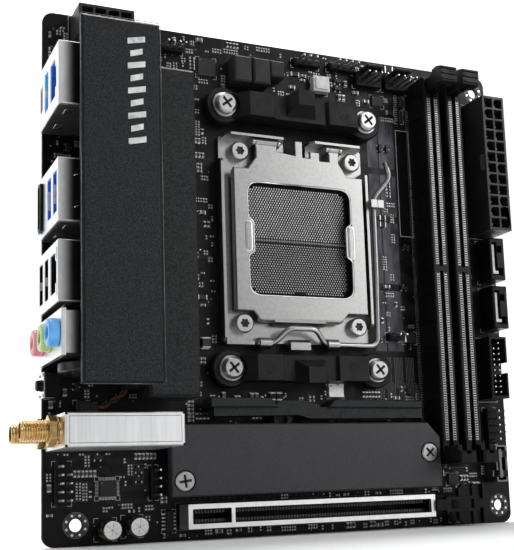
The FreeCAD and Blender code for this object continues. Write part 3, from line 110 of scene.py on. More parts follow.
# ================================================================ camera, light and stage
LENS = 69.18
SHIFT = (-0.091, 0.091)
CAMERA_DISTANCE = 0.36424
CAMERA_TURN = math.radians(25.4)      # to the left of square on
CAMERA_RISE = math.radians(8.77)      # it looks up by this
CAMERA_ROLL = math.radians(-2.16)
AIM = (90.28, 70.44, 0.0)             # the place on the board on the camera's axis
FLOOR_GAP = 0.00005                   # between the floor and the board's lowest edge


def aim_at(thing, target, roll=0.0):
    """Turns a camera or light towards a point."""
    facing = (target - thing.location).to_track_quat("-Z", "Y").to_matrix()
    thing.rotation_euler = (facing @ Matrix.Rotation(roll, 3, "Z")).to_euler()


def make_camera():
    """The camera that matches the reference view."""
    data = bpy.data.cameras.new("camera")
    data.lens = LENS
    data.shift_x, data.shift_y = SHIFT
    data.clip_start = 0.01
    data.clip_end = 20.0
    camera = bpy.data.objects.new("camera", data)
    bpy.context.scene.collection.objects.link(camera)
    target = bench(*AIM)
    toward = Vector((math.sin(CAMERA_TURN) * math.cos(CAMERA_RISE),
                     math.cos(CAMERA_TURN) * math.cos(CAMERA_RISE), math.sin(CAMERA_RISE)))
    camera.location = target - toward * CAMERA_DISTANCE
    aim_at(camera, target, CAMERA_ROLL)
    bpy.context.scene.camera = camera


def make_lights():
    """Area lights about the board, and a dim even world."""
    middle = bench(85.0, 85.0, 10.0)
    for name, place, target, size, power in (
            ("key", (1.05, -1.15, 0.62), middle, (0.95, 0.9), 8.4),
            ("glare", (1.02, -1.06, 0.85), middle, (0.3, 0.3), 3.2),
            ("strip", (0.1, -1.2, 1.3), middle, (0.25, 0.9), 2.0),
            ("left", (-1.4, 0.1, 0.6), middle, (0.7, 0.9), 3.0),
            ("over", (-0.1, -0.1, 1.5), middle, (1.0, 0.5), 3.0),
            ("sweep", (0.2, 0.7, 1.8), (0.1, 1.4, 0.3), (1.6, 0.8), 44.0)):
        data = bpy.data.lights.new(name, "AREA")
        data.shape = "RECTANGLE"
        data.size, data.size_y = size
        data.energy = power
        light = bpy.data.objects.new(name, data)
        bpy.context.scene.collection.objects.link(light)
        light.location = Vector(place)
        aim_at(light, Vector(target))
    world = bpy.data.worlds.new("studio")
    world.use_nodes = True
    background = world.node_tree.nodes["Background"]
    background.inputs["Color"].default_value = (0.95, 0.97, 1.0, 1.0)
    background.inputs["Strength"].default_value = 0.3
    bpy.context.scene.world = world


def make_stage():
    """A pale sheet that is the floor and curves up behind the board."""
    floor_z = BOARD_LOW.z - FLOOR_GAP
    near, bend_from, bend, top, half = -5.0, 0.9, 0.6, 2.6, 4.5
    profile = [(near, floor_z)]
    for i in range(25):
        a = math.radians(90 * i / 24)
        profile.append((bend_from + bend * math.sin(a), floor_z + bend * (1 - math.cos(a))))
    profile.append((bend_from + bend, top))
    points = [(x, y, z) for y, z in profile for x in (-half, half)]
    faces = [(2 * i, 2 * i + 1, 2 * i + 3, 2 * i + 2) for i in range(len(profile) - 1)]
    mesh = bpy.data.meshes.new("studio_sheet")
    mesh.from_pydata(points, [], faces)
    for polygon in mesh.polygons:
        polygon.use_smooth = True
    sheet = bpy.data.objects.new("studio_sheet", mesh)
    bpy.context.scene.collection.objects.link(sheet)
    mesh.materials.append(surface("studio_paper", (0.82, 0.82, 0.82), (0.86, 0.86, 0.86), 0.85, grain=8,
                                  relief=0.05, relief_scale=60))


# ================================================================ materials
def make_node(tree, kind, **inputs):
    """A shader node whose inputs are set to values or joined to other nodes' outputs."""
    made = tree.nodes.new("ShaderNode" + kind)
    for key, value in inputs.items():
        socket = made.inputs[key.replace("_", " ")]
        if isinstance(value, bpy.types.NodeSocket):
            tree.links.new(value, socket)
        else:
            socket.default_value = value
    return made


def noise(tree, vector, scale, detail=3.0):
    """A noise pattern's output."""
    return make_node(tree, "TexNoise", Scale=scale, Detail=detail, Vector=vector).outputs["Fac"]


NOISE_SPAN = (0.35, 0.65)       # where nearly all of a noise's values lie


def as_colour(shade):
    """A shade as red, green and blue: one number stands for a neutral grey."""
    return shade if isinstance(shade, tuple) else grey(shade)


def surface(name, low, high, rough, metal=0.0, grain=600.0, rough_by=0.08, relief=0.2, relief_scale=3000.0,
            relief_depth=0.00003, stretch=(1.0, 1.0, 1.0), specular=0.5, rough_scale=250.0, fade=None):
    """A material whose colour drifts between two shades, with uneven roughness and a fine relief.

    fade is (x0, x1, share): the colour darkens to that share of itself between two bench x places; the shell tops use
    it to paint shadow into their colour.
    """
    made = bpy.data.materials.new(name)
    made.use_nodes = True
    tree = made.node_tree
    shader = tree.nodes["Principled BSDF"]
    shader.inputs["Metallic"].default_value = metal
    shader.inputs["Specular IOR Level"].default_value = specular
    place = tree.nodes.new("ShaderNodeTexCoord").outputs["Object"]
    vector = make_node(tree, "Mapping", Vector=place, Scale=stretch).outputs["Vector"]
    ramp = make_node(tree, "ValToRGB", Fac=noise(tree, vector, grain))
    for stop, position, shade in zip(ramp.color_ramp.elements, NOISE_SPAN, (low, high)):
        stop.position = position
        stop.color = (*as_colour(shade), 1.0)
    colour = ramp.outputs["Color"]
    if fade:
        split = make_node(tree, "SeparateXYZ", Vector=place)
        dim = make_node(tree, "MapRange", Value=split.outputs["X"], From_Min=bench(fade[0], 0, 0).x,
                        From_Max=bench(fade[1], 0, 0).x, To_Min=1.0, To_Max=fade[2])
        dim.interpolation_type = "SMOOTHSTEP"
        scaled = tree.nodes.new("ShaderNodeVectorMath")
        scaled.operation = "SCALE"
        tree.links.new(colour, scaled.inputs[0])
        tree.links.new(dim.outputs["Result"], scaled.inputs["Scale"])
        colour = scaled.outputs["Vector"]
    tree.links.new(colour, shader.inputs["Base Color"])
    uneven = make_node(tree, "MapRange", Value=noise(tree, vector, rough_scale, 2.0), From_Min=NOISE_SPAN[0],
                       From_Max=NOISE_SPAN[1], To_Min=rough - rough_by, To_Max=rough + rough_by)
    tree.links.new(uneven.outputs["Result"], shader.inputs["Roughness"])
    bump = make_node(tree, "Bump", Strength=relief, Distance=relief_depth,
                     Height=noise(tree, vector, relief_scale, 2.0))
    tree.links.new(bump.outputs["Normal"], shader.inputs["Normal"])
    return made


def grey(value, warm=0.0):
    return (value * (1 + warm), value, value * (1 - warm))


PRESSED = dict(metal=1.0, grain=900, relief=0.05, relief_scale=4200, rough_by=0.02, rough_scale=900)
SHELL = dict(metal=1.0, grain=500, rough_by=0.03, relief=0.08, relief_scale=2600, rough_scale=700)
MATERIALS = {
    # name: darker shade, lighter shade, roughness, and what else surface() takes
    "mask": (0.002, grey(0.0042, -0.03), 0.4, dict(grain=220, relief=0.1, relief_scale=900, specular=0.15)),
    "trace": (0.007, 0.012, 0.36, dict(grain=300, specular=0.22)),
    "ring": (0.035, 0.06, 0.42, dict(metal=0.5, grain=600, specular=0.25)),
    "pour": ((0.016, 0.015, 0.019), (0.07, 0.067, 0.083), 0.36,
             dict(grain=330, relief=0.9, relief_scale=700, relief_depth=0.00012, metal=0.2, specular=0.25,
                  stretch=(1.0, 1.0, 0.35))),
    "print": (0.32, 0.5, 0.7, dict(grain=1500)),
    "print_dim": (0.07, 0.13, 0.7, dict(grain=1500)),
    "tin": (0.42, grey(0.62, 0.01), 0.34, dict(metal=1.0, grain=900, relief=0.3)),
    "gold": ((0.52, 0.34, 0.13), (0.68, 0.48, 0.23), 0.24, dict(metal=1.0, grain=900, rough_by=0.04, relief=0.12)),
    "nickel": (grey(0.3, 0.012), grey(0.34, 0.01), 0.3, PRESSED),
    # rim: a lighter copy of the load plate's pressed steel, a painted highlight on its rolled rim, the pads' sloped
    # sides and the corner mark
    "rim": (grey(0.62, 0.012), grey(0.7, 0.01), 0.3, PRESSED),
    "screw": (grey(0.36, 0.012), grey(0.41, 0.012), 0.33,
              dict(metal=1.0, grain=400, rough_by=0.015, relief=0.05, relief_scale=2600)),
    # recess_painted_shade: dark metal put in the screws' drive recesses, painted shade
    "recess_painted_shade": (0.015, 0.035, 0.45, dict(metal=0.6, grain=600, specular=0.2)),
    "bright": (grey(0.58, 0.012), grey(0.68, 0.012), 0.24, dict(metal=1.0, grain=900, rough_by=0.02, relief=0.04)),
    "shell": (0.76, 0.83, 0.36, SHELL),
    # shell_top: painted shadow, the shells' steel fading to 5% of itself towards the tall heatsink
    "shell_top": (0.7, 0.77, 0.34, dict(SHELL, fade=(-0.5, 3.6, 0.05))),
    # shell_side: a dark copy of the shells' steel, painted shade on their lower sides
    "shell_side": (0.035, 0.06, 0.4, dict(metal=0.6, grain=500, specular=0.2)),
    "brushed": (0.9, 0.97, 0.32,
                dict(metal=1.0, grain=620, rough_by=0.02, relief=0.08, relief_scale=1900,
                     stretch=(2.6, 1.0, 0.12))),
    "anodised": (grey(0.001, -0.08), grey(0.022, -0.08), 0.5,
                 dict(grain=2200, relief=0.6, relief_scale=2600, relief_depth=6e-05, specular=0.22)),
    "plastic": (0.003, 0.007, 0.38, dict(grain=700, relief=0.3, relief_scale=4200, specular=0.13)),
    "power_plastic": (0.01, 0.02, 0.42, dict(grain=900, relief=0.3, relief_scale=4200, specular=0.3)),
    # worn_edge: lighter metal for rods along the heatsink cap's edges, a painted highlight
    "worn_edge": (0.09, 0.15, 0.34, dict(metal=1.0, grain=900)),
    "plate_anodised": ((0.01, 0.0095, 0.012), (0.03, 0.028, 0.035), 0.4,
                       dict(grain=3600, relief=0.4, relief_scale=3800, relief_depth=4e-05, specular=0.4)),
    # pin_shade: a darkened copy of the pins' metal, painted shade on the power header pins and inside the front
    # type-C header
    "pin_shade": (0.1, 0.17, 0.4, dict(metal=1.0, grain=900)),
    "textured": (0.003, 0.009, 0.5,
                 dict(grain=3200, relief=0.8, relief_scale=3400, relief_depth=6e-05, specular=0.2)),
    "resin": (0.009, 0.017, 0.46, dict(grain=2600, relief=0.35, relief_scale=4200, specular=0.25)),
    "choke": (0.016, 0.03, 0.6, dict(grain=2600, relief=0.7, relief_scale=3200, relief_depth=5e-05, specular=0.25)),
    "contact_floor": (0.004, 0.008, 0.6, dict(grain=1500, specular=0.2)),
    "contact": (0.5, 0.7, 0.4, dict(metal=1.0, grain=1800)),
    # contact_pale: a dimmer copy of the contact metal, painted shade on the socket's lower contact plate
    "contact_pale": (0.46, 0.58, 0.5, dict(metal=0.7, grain=1800)),
    "rail": (grey(0.16, -0.03), grey(0.22, -0.03), 0.5, dict(grain=900)),
    # deep_contact: a dark copy of the contact metal, painted shade deep inside the expansion slot
    "deep_contact": (0.05, 0.09, 0.45, dict(metal=1.0, grain=1800)),
    "spring": (0.32, 0.46, 0.42, dict(metal=1.0, grain=1800)),
    "white_plastic": (grey(0.52, 0.02), grey(0.66, 0.02), 0.5, dict(grain=700)),
    "ceramic": ((0.085, 0.064, 0.048), (0.15, 0.115, 0.085), 0.5, dict(grain=2200)),
    "resistor": (0.008, 0.015, 0.42, dict(grain=2200, specular=0.3)),
    "blue": ((0.01, 0.15, 0.72), (0.02, 0.21, 0.85), 0.34, dict(grain=400)),
    "light_blue": ((0.1, 0.5, 0.92), (0.16, 0.6, 0.98), 0.34, dict(grain=400)),
    "jack_pink": ((0.7, 0.21, 0.25), (0.82, 0.32, 0.36), 0.34, dict(grain=160)),
    "jack_green": ((0.37, 0.54, 0.18), (0.48, 0.66, 0.26), 0.34, dict(grain=160)),
    "jack_blue": ((0.06, 0.32, 0.72), (0.14, 0.44, 0.86), 0.34, dict(grain=160)),
    "film": (0.006, 0.013, 0.26, dict(grain=90, relief=0.5, relief_scale=160, relief_depth=0.0002, specular=0.3)),
    "brown_wire": ((0.11, 0.04, 0.014), (0.19, 0.075, 0.028), 0.42, dict(grain=700)),
    "black_wire": (0.008, 0.016, 0.42, dict(grain=700)),
    "sleeve": (0.004, 0.009, 0.2, dict(grain=200)),
    "can_top": (0.62, 0.74, 0.34, dict(metal=0.7, grain=500)),
    "green_card": ((0.006, 0.05, 0.03), (0.01, 0.08, 0.045), 0.4, dict(grain=300)),
    "pad_foam": ((0.2, 0.21, 0.23), (0.3, 0.31, 0.34), 0.85, dict(grain=900)),
}


MATS = {name: surface(name, low, high, rough, **more) for name, (low, high, rough, more) in MATERIALS.items()}


# ================================================================ mesh work
SIGNS = list(itertools.product((-1, 1), repeat=3))
RING = ((-1, -1), (1, -1), (1, 1), (-1, 1))


def block_faces():
    """The faces of a block whose edges are all chamfered, over three points at each corner."""
    index = {(axis, s): 3 * i + axis for i, s in enumerate(SIGNS) for axis in range(3)}
    faces = [[index[axis, s] for axis in range(3)] for s in SIGNS]
    for axis in range(3):
        a, b = (axis + 1) % 3, (axis + 2) % 3

        def corner(face_axis, along, sa, sb, axis=axis, a=a, b=b):
            signs = [0, 0, 0]
            signs[axis], signs[a], signs[b] = along, sa, sb
            return index[face_axis, tuple(signs)]

        for side in (-1, 1):
            faces.append([corner(axis, side, sa, sb) for sa, sb in RING])
        for sa, sb in RING:
            faces.append([corner(a, -1, sa, sb), corner(a, 1, sa, sb), corner(b, 1, sa, sb), corner(b, -1, sa, sb)])
    return faces


def band(rows, n):
    """The faces between rows of n points each, where each row is a closed ring."""
    return [[j * n + i, j * n + (i + 1) % n, (j + 1) * n + (i + 1) % n, (j + 1) * n + i]
            for j in range(rows - 1) for i in range(n)]


def circle(n, shift=0.0):
    """The cosine and sine of n even turns."""
    turns = [2 * math.pi * (i + shift) / n for i in range(n)]
    return [(math.cos(a), math.sin(a)) for a in turns]


def centre(box):
    """The middle of a box given as x0, x1, y0, y1, z0, z1."""
    return tuple((a + b) / 2 for a, b in zip(box[::2], box[1::2]))


BLOCK_FACES = block_faces()
AXES = {"x": (0, 1, 2), "y": (1, 2, 0), "z": (2, 0, 1)}


class Shape:
    """Faces gathered in bench millimetres, each with a material number, that become one piece."""

    def __init__(self):
        self.points = []
        self.faces = []
        self.kinds = []
        self.smooth = []

    def add(self, points, faces, kind=0, smooth=False):
        base = len(self.points)
        self.points.extend(points)
        for face in faces:
            self.faces.append([base + i for i in face])
            self.kinds.append(kind)
            self.smooth.append(smooth)

    def block(self, x0, x1, y0, y1, z0, z1, edge=0.08, kind=0, turn=0.0):
        """A block with chamfered edges, turned about its own upright middle by degrees.

        Each pair of bounds may come in either order.
        """
        mid = centre((x0, x1, y0, y1, z0, z1))
        half = (abs(x1 - x0) / 2, abs(y1 - y0) / 2, abs(z1 - z0) / 2)
        edge = min(edge, 0.45 * min(half))
        c, s = math.cos(math.radians(turn)), math.sin(math.radians(turn))
        points = []
        for signs in SIGNS:
            for axis in range(3):
                p = [signs[i] * (half[i] - (0 if i == axis else edge)) for i in range(3)]
                points.append((mid[0] + p[0] * c - p[1] * s, mid[1] + p[0] * s + p[1] * c, mid[2] + p[2]))
        self.add(points, BLOCK_FACES, kind)

    def patch(self, x0, x1, y0, y1, z, kind=0):
        """A thin printed or plated rectangle that lies on the board."""
        self.raised([(x0, y0), (x1, y0), (x1, y1), (x0, y1)], z - 0.04, z, kind)

    def lathe(self, profile, at, axis, kind=0, steps=28, capped=True):
        """A profile of (distance along the axis, radius) pairs turned about an axis through a point."""
        along, across, third = AXES[axis]
        points = []
        for d, r in profile:
            for c, s in circle(steps):
                p = list(at)
                p[along] += d
                p[across] += r * c
                p[third] += r * s
                points.append(tuple(p))
        faces = band(len(profile), steps)
        if capped and profile[0] != profile[-1]:
            faces += [[end * steps + i for i in range(steps)] for end in (0, len(profile) - 1)
                      if profile[end][1] > 0.001]
        self.add(points, faces, kind)

    def rod(self, path, radius, kind=0, sides=8):
        """A round rod along a list of points."""
        path = [Vector(p) for p in path]
        heading = (path[1] - path[0]).normalized()
        side = heading.orthogonal().normalized()
        rows = []
        for i, p in enumerate(path):
            ahead = (path[min(i + 1, len(path) - 1)] - path[max(i - 1, 0)]).normalized()
            side = (side - ahead * side.dot(ahead)).normalized()
            other = ahead.cross(side)
            rows.append([tuple(p + (side * c + other * s) * radius) for c, s in circle(sides)])
        self.loft(rows, kind, smooth=True)

    def loft(self, rows, kind=0, ends="flat", smooth=False):
        """A skin over rows of points, one closed ring each; a strip end is filled from side to side."""
        n = len(rows[0])
        faces = band(len(rows), n)
        for base in (0, (len(rows) - 1) * n):
            if ends == "flat":
                faces.append(range(base, base + n))
            elif ends == "strip":
                faces += [(base + i, base + i + 1, base + n - 2 - i, base + n - 1 - i) for i in range(n // 2 - 1)]
        self.add([p for row in rows for p in row], faces, kind, smooth)

    def raised(self, outline, z0, z1, kind=0):
        """An outline in x, y raised from z0 to z1."""
        self.loft([[(x, y, z) for x, y in outline] for z in (z0, z1)], kind)

    def build(self, name, materials, slot=None, body="board", replaces=()):
        """Makes the piece, sets its materials from their names, and rides it on a body."""
        mesh = bpy.data.meshes.new(name)
        mesh.from_pydata([bench(*p) for p in self.points], [], self.faces)
        for material in materials.split():
            mesh.materials.append(MATS[material])
        mesh.polygons.foreach_set("material_index", self.kinds)
        mesh.polygons.foreach_set("use_smooth", self.smooth)
        tidy = bmesh.new()
        tidy.from_mesh(mesh)
        bmesh.ops.remove_doubles(tidy, verts=tidy.verts, dist=1e-7)
        bmesh.ops.recalc_face_normals(tidy, faces=tidy.faces)
        tidy.to_mesh(mesh)
        tidy.free()
        piece = bpy.data.objects.new(name, mesh)
        bpy.context.scene.collection.objects.link(piece)
        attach(piece, body)
        if replaces:
            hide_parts(*replaces)
        return piece


# ================================================================ finishes of the CAD nodes
def soften(node, width):
    """Rounds a CAD node's edges with modifiers, which leave its own mesh as it is."""
    thing = NODES[node]
    weld = thing.modifiers.new("weld", "WELD")
    weld.merge_threshold = 2e-6
    flats = thing.modifiers.new("flats", "DECIMATE")
    flats.decimate_type = "DISSOLVE"
    flats.angle_limit = math.radians(0.6)
    edges = thing.modifiers.new("edges", "BEVEL")
    edges.width = width * MM
    edges.segments = 2
    edges.limit_method = "ANGLE"
    edges.angle_limit = math.radians(38)
    edges.use_clamp_overlap = True
    thing.modifiers.new("shading", "WEIGHTED_NORMAL")


FINISHES = (
    # material, edge rounding in mm, CAD nodes
    ("mask", 0.12, "pcb"),
    ("plastic", 0.12, "socket_housing fan_headers display_port_bezel card_sockets memory_slot_1 memory_slot_2"),
    ("nickel", 0.16, "socket_frame"),
    ("nickel", 0.18, "load_plate"),
    ("screw", 0, "socket_lever"),
    ("screw", 0.1, "socket_frame_screws cooler_bracket_screws m2_heatsink_screws"),
    ("textured", 0.2, "backplate"),
    ("film", 0, "backplate_sheet"),
    ("textured", 0.3, "cooler_bracket_upper cooler_bracket_lower"),
    ("anodised", 0.12, "vrm_heatsink chipset_heatsink"),
    ("bright", 0.15, "vrm_heatsink_screws"),
    ("pad_foam", 0, "vrm_thermal_pads"),
    ("resin", 0.08, "vrm_power_stages"),
    ("choke", 0.15, "vrm_chokes"),
    ("power_plastic", 0.14, "main_power_header cpu_power_header"),
    ("pin_shade", 0, "power_header_pins"),
    ("plastic", 0.1, "expansion_slot pin_header_bases"),
    ("shell", 0.08, "expansion_slot_shield"),
    ("plastic", 0.15, "expansion_slot_latch sata_ports front_usb_header audio_jack_body"),
    ("pin_shade", 0.08, "front_type_c_header"),
    ("tin", 0.08, "header_pins"),
    ("shell", 0.25, "usb_port_shell_upper usb_port_shell_middle lan_port_shell"),
    ("shell", 0.12, "audio_jack_plate"),
    ("plastic", 0, "rear_button_plunger"),
    ("shell", 0.2, "wifi_can"),
    ("green_card", 0, "wifi_card"),
    ("gold", 0.2, "antenna_nuts"),
    ("film", 0.2, "battery"),
    ("plate_anodised", 0.12, "m2_heatsink"),
    ("gold", 0.1, "m2_standoffs"),
    ("plastic", 0.2, "memory_latch_1 memory_latch_2"),
    ("power_plastic", 0.12, "battery_plug"),
)


def finish_nodes():
    """Gives every visible CAD node its material and its softened edges."""
    for material, edge, nodes in FINISHES:
        for node in nodes.split():
            mesh = NODES[node].data
            mesh.materials.clear()
            mesh.materials.append(MATS[material])
            if edge:
                soften(node, edge)


# ================================================================ processor socket and slots
def make_contact_field():
    """Rows of small slanted contacts on two plates, which face each other across the middle rail."""
    floor, lit, tab, pale, comb = range(5)
    x0, x1, y0, y1, z0, _ = measures("socket_contacts")
    lower, rail, upper = sorted(solids_of("socket_contacts"), key=lambda b: b[2] + b[3])
    cut_corner, pitch_x, pitch_y, half = 2.0, 0.94, 0.82, 0.17
    floor_z = lower[5] - 0.25
    shape = Shape()
    # the lower plate's contacts take a dimmer copy of the contact metal than the upper ones: painted shade
    for (px0, px1, py0, py1, _, _), far, rise, kind in ((lower, -1, 0.2, pale), (upper, 1, 0.3, lit)):
        outer, inner = (py0, py1) if far < 0 else (py1, py0)
        shape.raised([(px0, inner), (px1, inner), (px1, outer - far * cut_corner), (px1 - cut_corner, outer),
                      (px0 + cut_corner, outer), (px0, outer - far * cut_corner)], z0, floor_z, floor)
        tip_z = floor_z + rise
        for j in range(int((py1 - py0 - 0.5) / pitch_y)):
            y = py0 + 0.55 + j * pitch_y
            foot, tip = y - far * 0.26, y + far * 0.24
            for i in range(int((px1 - px0 - 0.6) / pitch_x)):
                x = px0 + 0.45 + (i + (j % 2) / 2) * pitch_x
                in_cut_rows = abs(y - outer) < cut_corner
                if x > px1 - 0.4 or (in_cut_rows and not px0 + 2.2 < x < px1 - 2.2):
                    continue
                shape.loft([[(x - half, foot, foot_z), (x + half, foot, foot_z), (x + half, tip, z),
                             (x - half, tip, z)] for foot_z, z in ((floor_z, tip_z), (floor_z - 0.12, tip_z - 0.16))],
                           kind)
    mid_y = centre(rail)[1]
    shape.block(rail[0], rail[1], mid_y - 0.13, mid_y + 0.13, z0, rail[5] - 0.25, 0.05, comb)
    for i in range(int((rail[1] - rail[0]) / pitch_x)):
        x = rail[0] + 0.5 + i * pitch_x
        shape.block(x - 0.2, x + 0.2, rail[2] - 0.1, rail[3] + 0.1, z0, rail[5] - 0.28, 0.05, comb)
    mid_x = (x0 + x1) / 2
    for y in (y0 + 0.1, y1 - 0.8):
        shape.block(mid_x - 2.2, mid_x + 2.2, y, y + 0.7, z0, rail[5] - 0.05, 0.08, tab)
    shape.build("contact_field", "contact_floor contact plastic contact_pale rail", "contact_field",
                replaces=("socket_contacts",))


def rounded_box(x0, x1, y0, y1, r, steps=6):
    """The outline of a rectangle with round corners, counter-clockwise."""
    points = []
    for k, (cx, cy) in enumerate(((x1 - r, y1 - r), (x0 + r, y1 - r), (x0 + r, y0 + r), (x1 - r, y0 + r))):
        for i in range(steps + 1):
            a = math.radians(90 * (k + i / steps))
            points.append((cx + r * math.cos(a), cy + r * math.sin(a)))
    return points


def bent(corners, radii, steps=7):
    """A path through corner points, each corner eased by about its own radius."""
    corners = [Vector(p) for p in corners]
    path = [corners[0]]
    for before, here, after, r in zip(corners, corners[1:], corners[2:], radii):
        a, b = before - here, after - here
        reach = min(r / math.tan(a.angle(b) / 2), 0.46 * a.length, 0.46 * b.length)
        start, end = here + a.normalized() * reach, here + b.normalized() * reach
        for i in range(steps + 1):
            t = i / steps
            path.append(start.lerp(here, t).lerp(here.lerp(end, t), t))
    return path + [corners[-1]]


SOCKET_MIDDLE = (24.6, 30.2)     # from the load plate's lowest x and y
PLATE_TOP = 5.3


def about_socket(points):
    """Points given from the middle of the socket, in bench millimetres."""
    x0, _, y0, _, _, _ = measures("load_plate")
    return [(x0 + SOCKET_MIDDLE[0] + x, y0 + SOCKET_MIDDLE[1] + y, z) for x, y, z in points]


def make_plate_edges():
    """The load plate's rolled window rim, its two pressed pads and its turned-down lower edge."""
    shape = Shape()
    top = PLATE_TOP
    steel, pressed = range(2)
    window = [(0.0, 18.8), (19.3, 18.8), (19.3, 6.4), (17.3, 4.9), (17.3, -5.3), (19.3, -6.8), (19.3, -20.3),
              (-19.7, -20.3), (-19.7, -6.8), (-17.7, -5.3), (-17.7, 4.9), (-19.7, 6.4), (-19.7, 18.8), (0.1, 18.8)]
    radii = [4.4 if abs(y) > 18 else 1.2 for x, y in window[1:-1]]
    path = bent([(x, y, top - 0.24) for x, y in window], radii, 8)
    # the rolled rim, the pads' sloped sides and the corner mark take the lighter rim steel: painted highlight
    shape.rod(about_socket(path), 0.28, steel, 8)
    for x0, x1, y0, y1 in ((-20.9, -18.2, -5.6, 5.2), (17.9, 20.5, -6.3, 5.8)):
        rows = []
        for by, z in ((0.0, top - 0.3), (0.0, top + 0.02), (0.22, top + 0.16), (0.5, top + 0.2), (0.62, top + 0.08)):
            rows.append(about_socket([(x, y, z) for x, y in rounded_box(x0 + by, x1 - by, y0 + by, y1 - by,
                                                                        1.25 - 0.9 * by)]))
        n = len(rows[0])
        shape.loft(rows[:4], steel, ends="open")
        shape.loft(rows[3:], pressed, ends="open")
        shape.add(rows[0] + rows[-1], [range(n), range(n, 2 * n)], pressed)
    section = [(-27.2, top - 0.02), (-27.9, top), (-28.5, top - 0.2), (-28.95, top - 0.6), (-29.15, top - 1.2),
               (-29.2, top - 2.0), (-28.8, top - 2.0), (-28.7, top - 1.2), (-28.3, top - 0.7), (-27.2, top - 0.5)]
    shape.loft([about_socket([(x, y + by, z) for y, z in section])
                for x, by in ((-16.9, 0.7), (-16.2, 0.25), (-15.4, 0.0), (13.4, 0.0), (14.2, 0.25), (14.9, 0.7))],
               pressed)
    mark = [(-18.6, 24.6), (-18.6, 21.6), (-16.0, 24.6), (-18.6, 24.6)]
    for a, b in zip(mark, mark[1:]):
        shape.rod(about_socket([(*a, top), (*b, top)]), 0.07, steel, 6)
    shape.build("load_plate_edges", "rim nickel", "pressed_steel", body="load_plate")


def make_lever_wire():
    """The socket lever as one bent wire, with round bends."""
    y, z = -36.3, 3.7       # the axis the lever turns about, from the socket's middle
    arm = 28.6              # how far to the side its long arm runs
    corners = [(-17.4, y, z), (-11.1, y, z), (-6.4, y + 4.9, z + 2.7), (3.4, y + 4.9, z + 2.7), (8.1, y, z),
               (arm, y, z), (arm, -12.0, 5.0), (arm, 16.6, 5.4), (arm + 6.6, 24.6, 6.6), (arm + 4.6, 30.0, 6.9)]
    path = bent(corners, (4.5, 4.5, 4.5, 4.5, 3.4, 8.0, 6.0, 4.5), 8)
    shape = Shape()
    shape.rod(about_socket(path), 0.95, 0, 18)
    shape.build("lever_wire", "screw", "wire_steel", body="socket_lever", replaces=("socket_lever",))


def make_lever_catch():
    """The catch that holds the lever down: the frame's tab, rounded over and curled round the wire."""
    wire_x, wire_z = 29.25, 5.85
    section = []
    for radius, start, step in ((2.15, 100, -10), (1.45, -20, 10)):
        for i in range(13):
            a = math.radians(start + step * i)
            section.append((radius * math.cos(a), radius * math.sin(a)))
    shape = Shape()
    shape.loft([about_socket([(wire_x + x * share, y, wire_z + z * share) for x, z in section])
                for y, share in ((12.7, 0.96), (12.95, 1.0), (15.45, 1.0), (15.7, 0.96))], 0, "strip")
    shape.build("lever_catch", "nickel", "pressed_steel")


def make_screw_recesses():
    """Dark floors in the drive recesses of the screws on the socket, the brackets and the storage cooler: painted
    shade in the recesses.
    """
    shape = Shape()
    for box in solids_of("socket_frame_screws"):
        x, y, _ = centre(box)
        star = []
        for i, (c, s) in enumerate(circle(48)):
            r = 1.22 + 0.27 * math.cos(math.pi * i / 4)
            star.append((x + r * c, y + r * s))
        shape.raised(star, box[5] - 1.62, box[5] - 0.5)
    for node, reach, wide, deep in (("cooler_bracket_screws", 2.15, 0.43, 1.42),
                                    ("m2_heatsink_screws", 1.95, 0.38, 1.02)):
        for box in solids_of(node):
            x, y, _ = centre(box)
            turn = 38 if node == "cooler_bracket_screws" else 45 if x > 80 else 8
            for quarter in (0, 90):
                shape.block(x - reach, x + reach, y - wide, y + wide, box[5] - deep, box[5] - 0.3, 0.05,
                            turn=turn + quarter)
    shape.build("screw_recesses", "recess_painted_shade", "plated_steel")


def make_slot_springs():
    """One spring for each contact of the memory slots and the expansion slot."""
    shape = Shape()
    spring, rail, deep = range(3)
    memory = [measures(node) for node in ("memory_slot_1", "memory_slot_2")]
    expansion = measures("expansion_slot")
    slot_top = expansion[5]
    for row in solids_of("slot_contacts"):
        x0, x1, y0, y1, z0, z1 = row
        mid_x, mid_y, _ = centre(row)
        if y1 - y0 > x1 - x0:
            slot_x = min((centre(slot)[0] for slot in memory), key=lambda x: abs(x - mid_x))
            wall, side = (x0, 1) if x0 > slot_x else (x1, -1)
            pitch = 0.85
            top = z1 + 1.2
            for near, wide in ((0.0, 0.22), (1.15, 0.2)):
                shape.block(wall + side * near, wall + side * (near + wide), y0 - 0.1, y1 + 0.1, top - 0.3,
                            top + 0.06, 0.04, rail)
            for i in range(int((y1 - y0) / pitch)):
                y = y0 + 0.4 + i * pitch
                shape.block(wall, wall + side * 1.25, y - 0.17, y + 0.17, top - 0.3, top + 0.05, 0.04, spring)
                shape.block(x0 + 0.02, x1 - 0.02, y - 0.2, y + 0.2, z0 + 0.05, z1 + 0.6, 0.04, spring)
        else:
            wall, side = (y0, 1) if mid_y > centre(expansion)[1] else (y1, -1)
            # the expansion slot's contacts take the dark contact copy: painted shade deep in the slot
            for i in range(int(x1 - x0)):
                x = x0 + 0.5 + i
                shape.block(x - 0.3, x + 0.3, wall, wall + side * 0.95, slot_top - 2.25, slot_top - 2.05, 0.05, deep)
                shape.block(x - 0.25, x + 0.25, y0 + 0.02, y1 - 0.02, z0 + 0.05, z1, 0.04, deep)
    shape.build("slot_springs", "spring rail deep_contact", "contact_metal", replaces=("slot_contacts",))


def make_slot_tails():
    """The solder tails that show along both sides of each memory slot."""
    shape = Shape()
    for node in ("memory_slot_1", "memory_slot_2"):
        x0, x1, y0, y1, z0, z1 = measures(node)
        for side, x in ((-1, x0 + 0.1), (1, x1 - 0.1)):
            for i in range(146):        # a tail every 0.85 mm
                y = y0 + 8.0 + i * 0.85
                shape.block(x, x + side * 0.8, y - 0.18, y + 0.18, 0.0, 0.14, 0.04)
    shape.build("memory_slot_tails", "tin", "tin_plate")


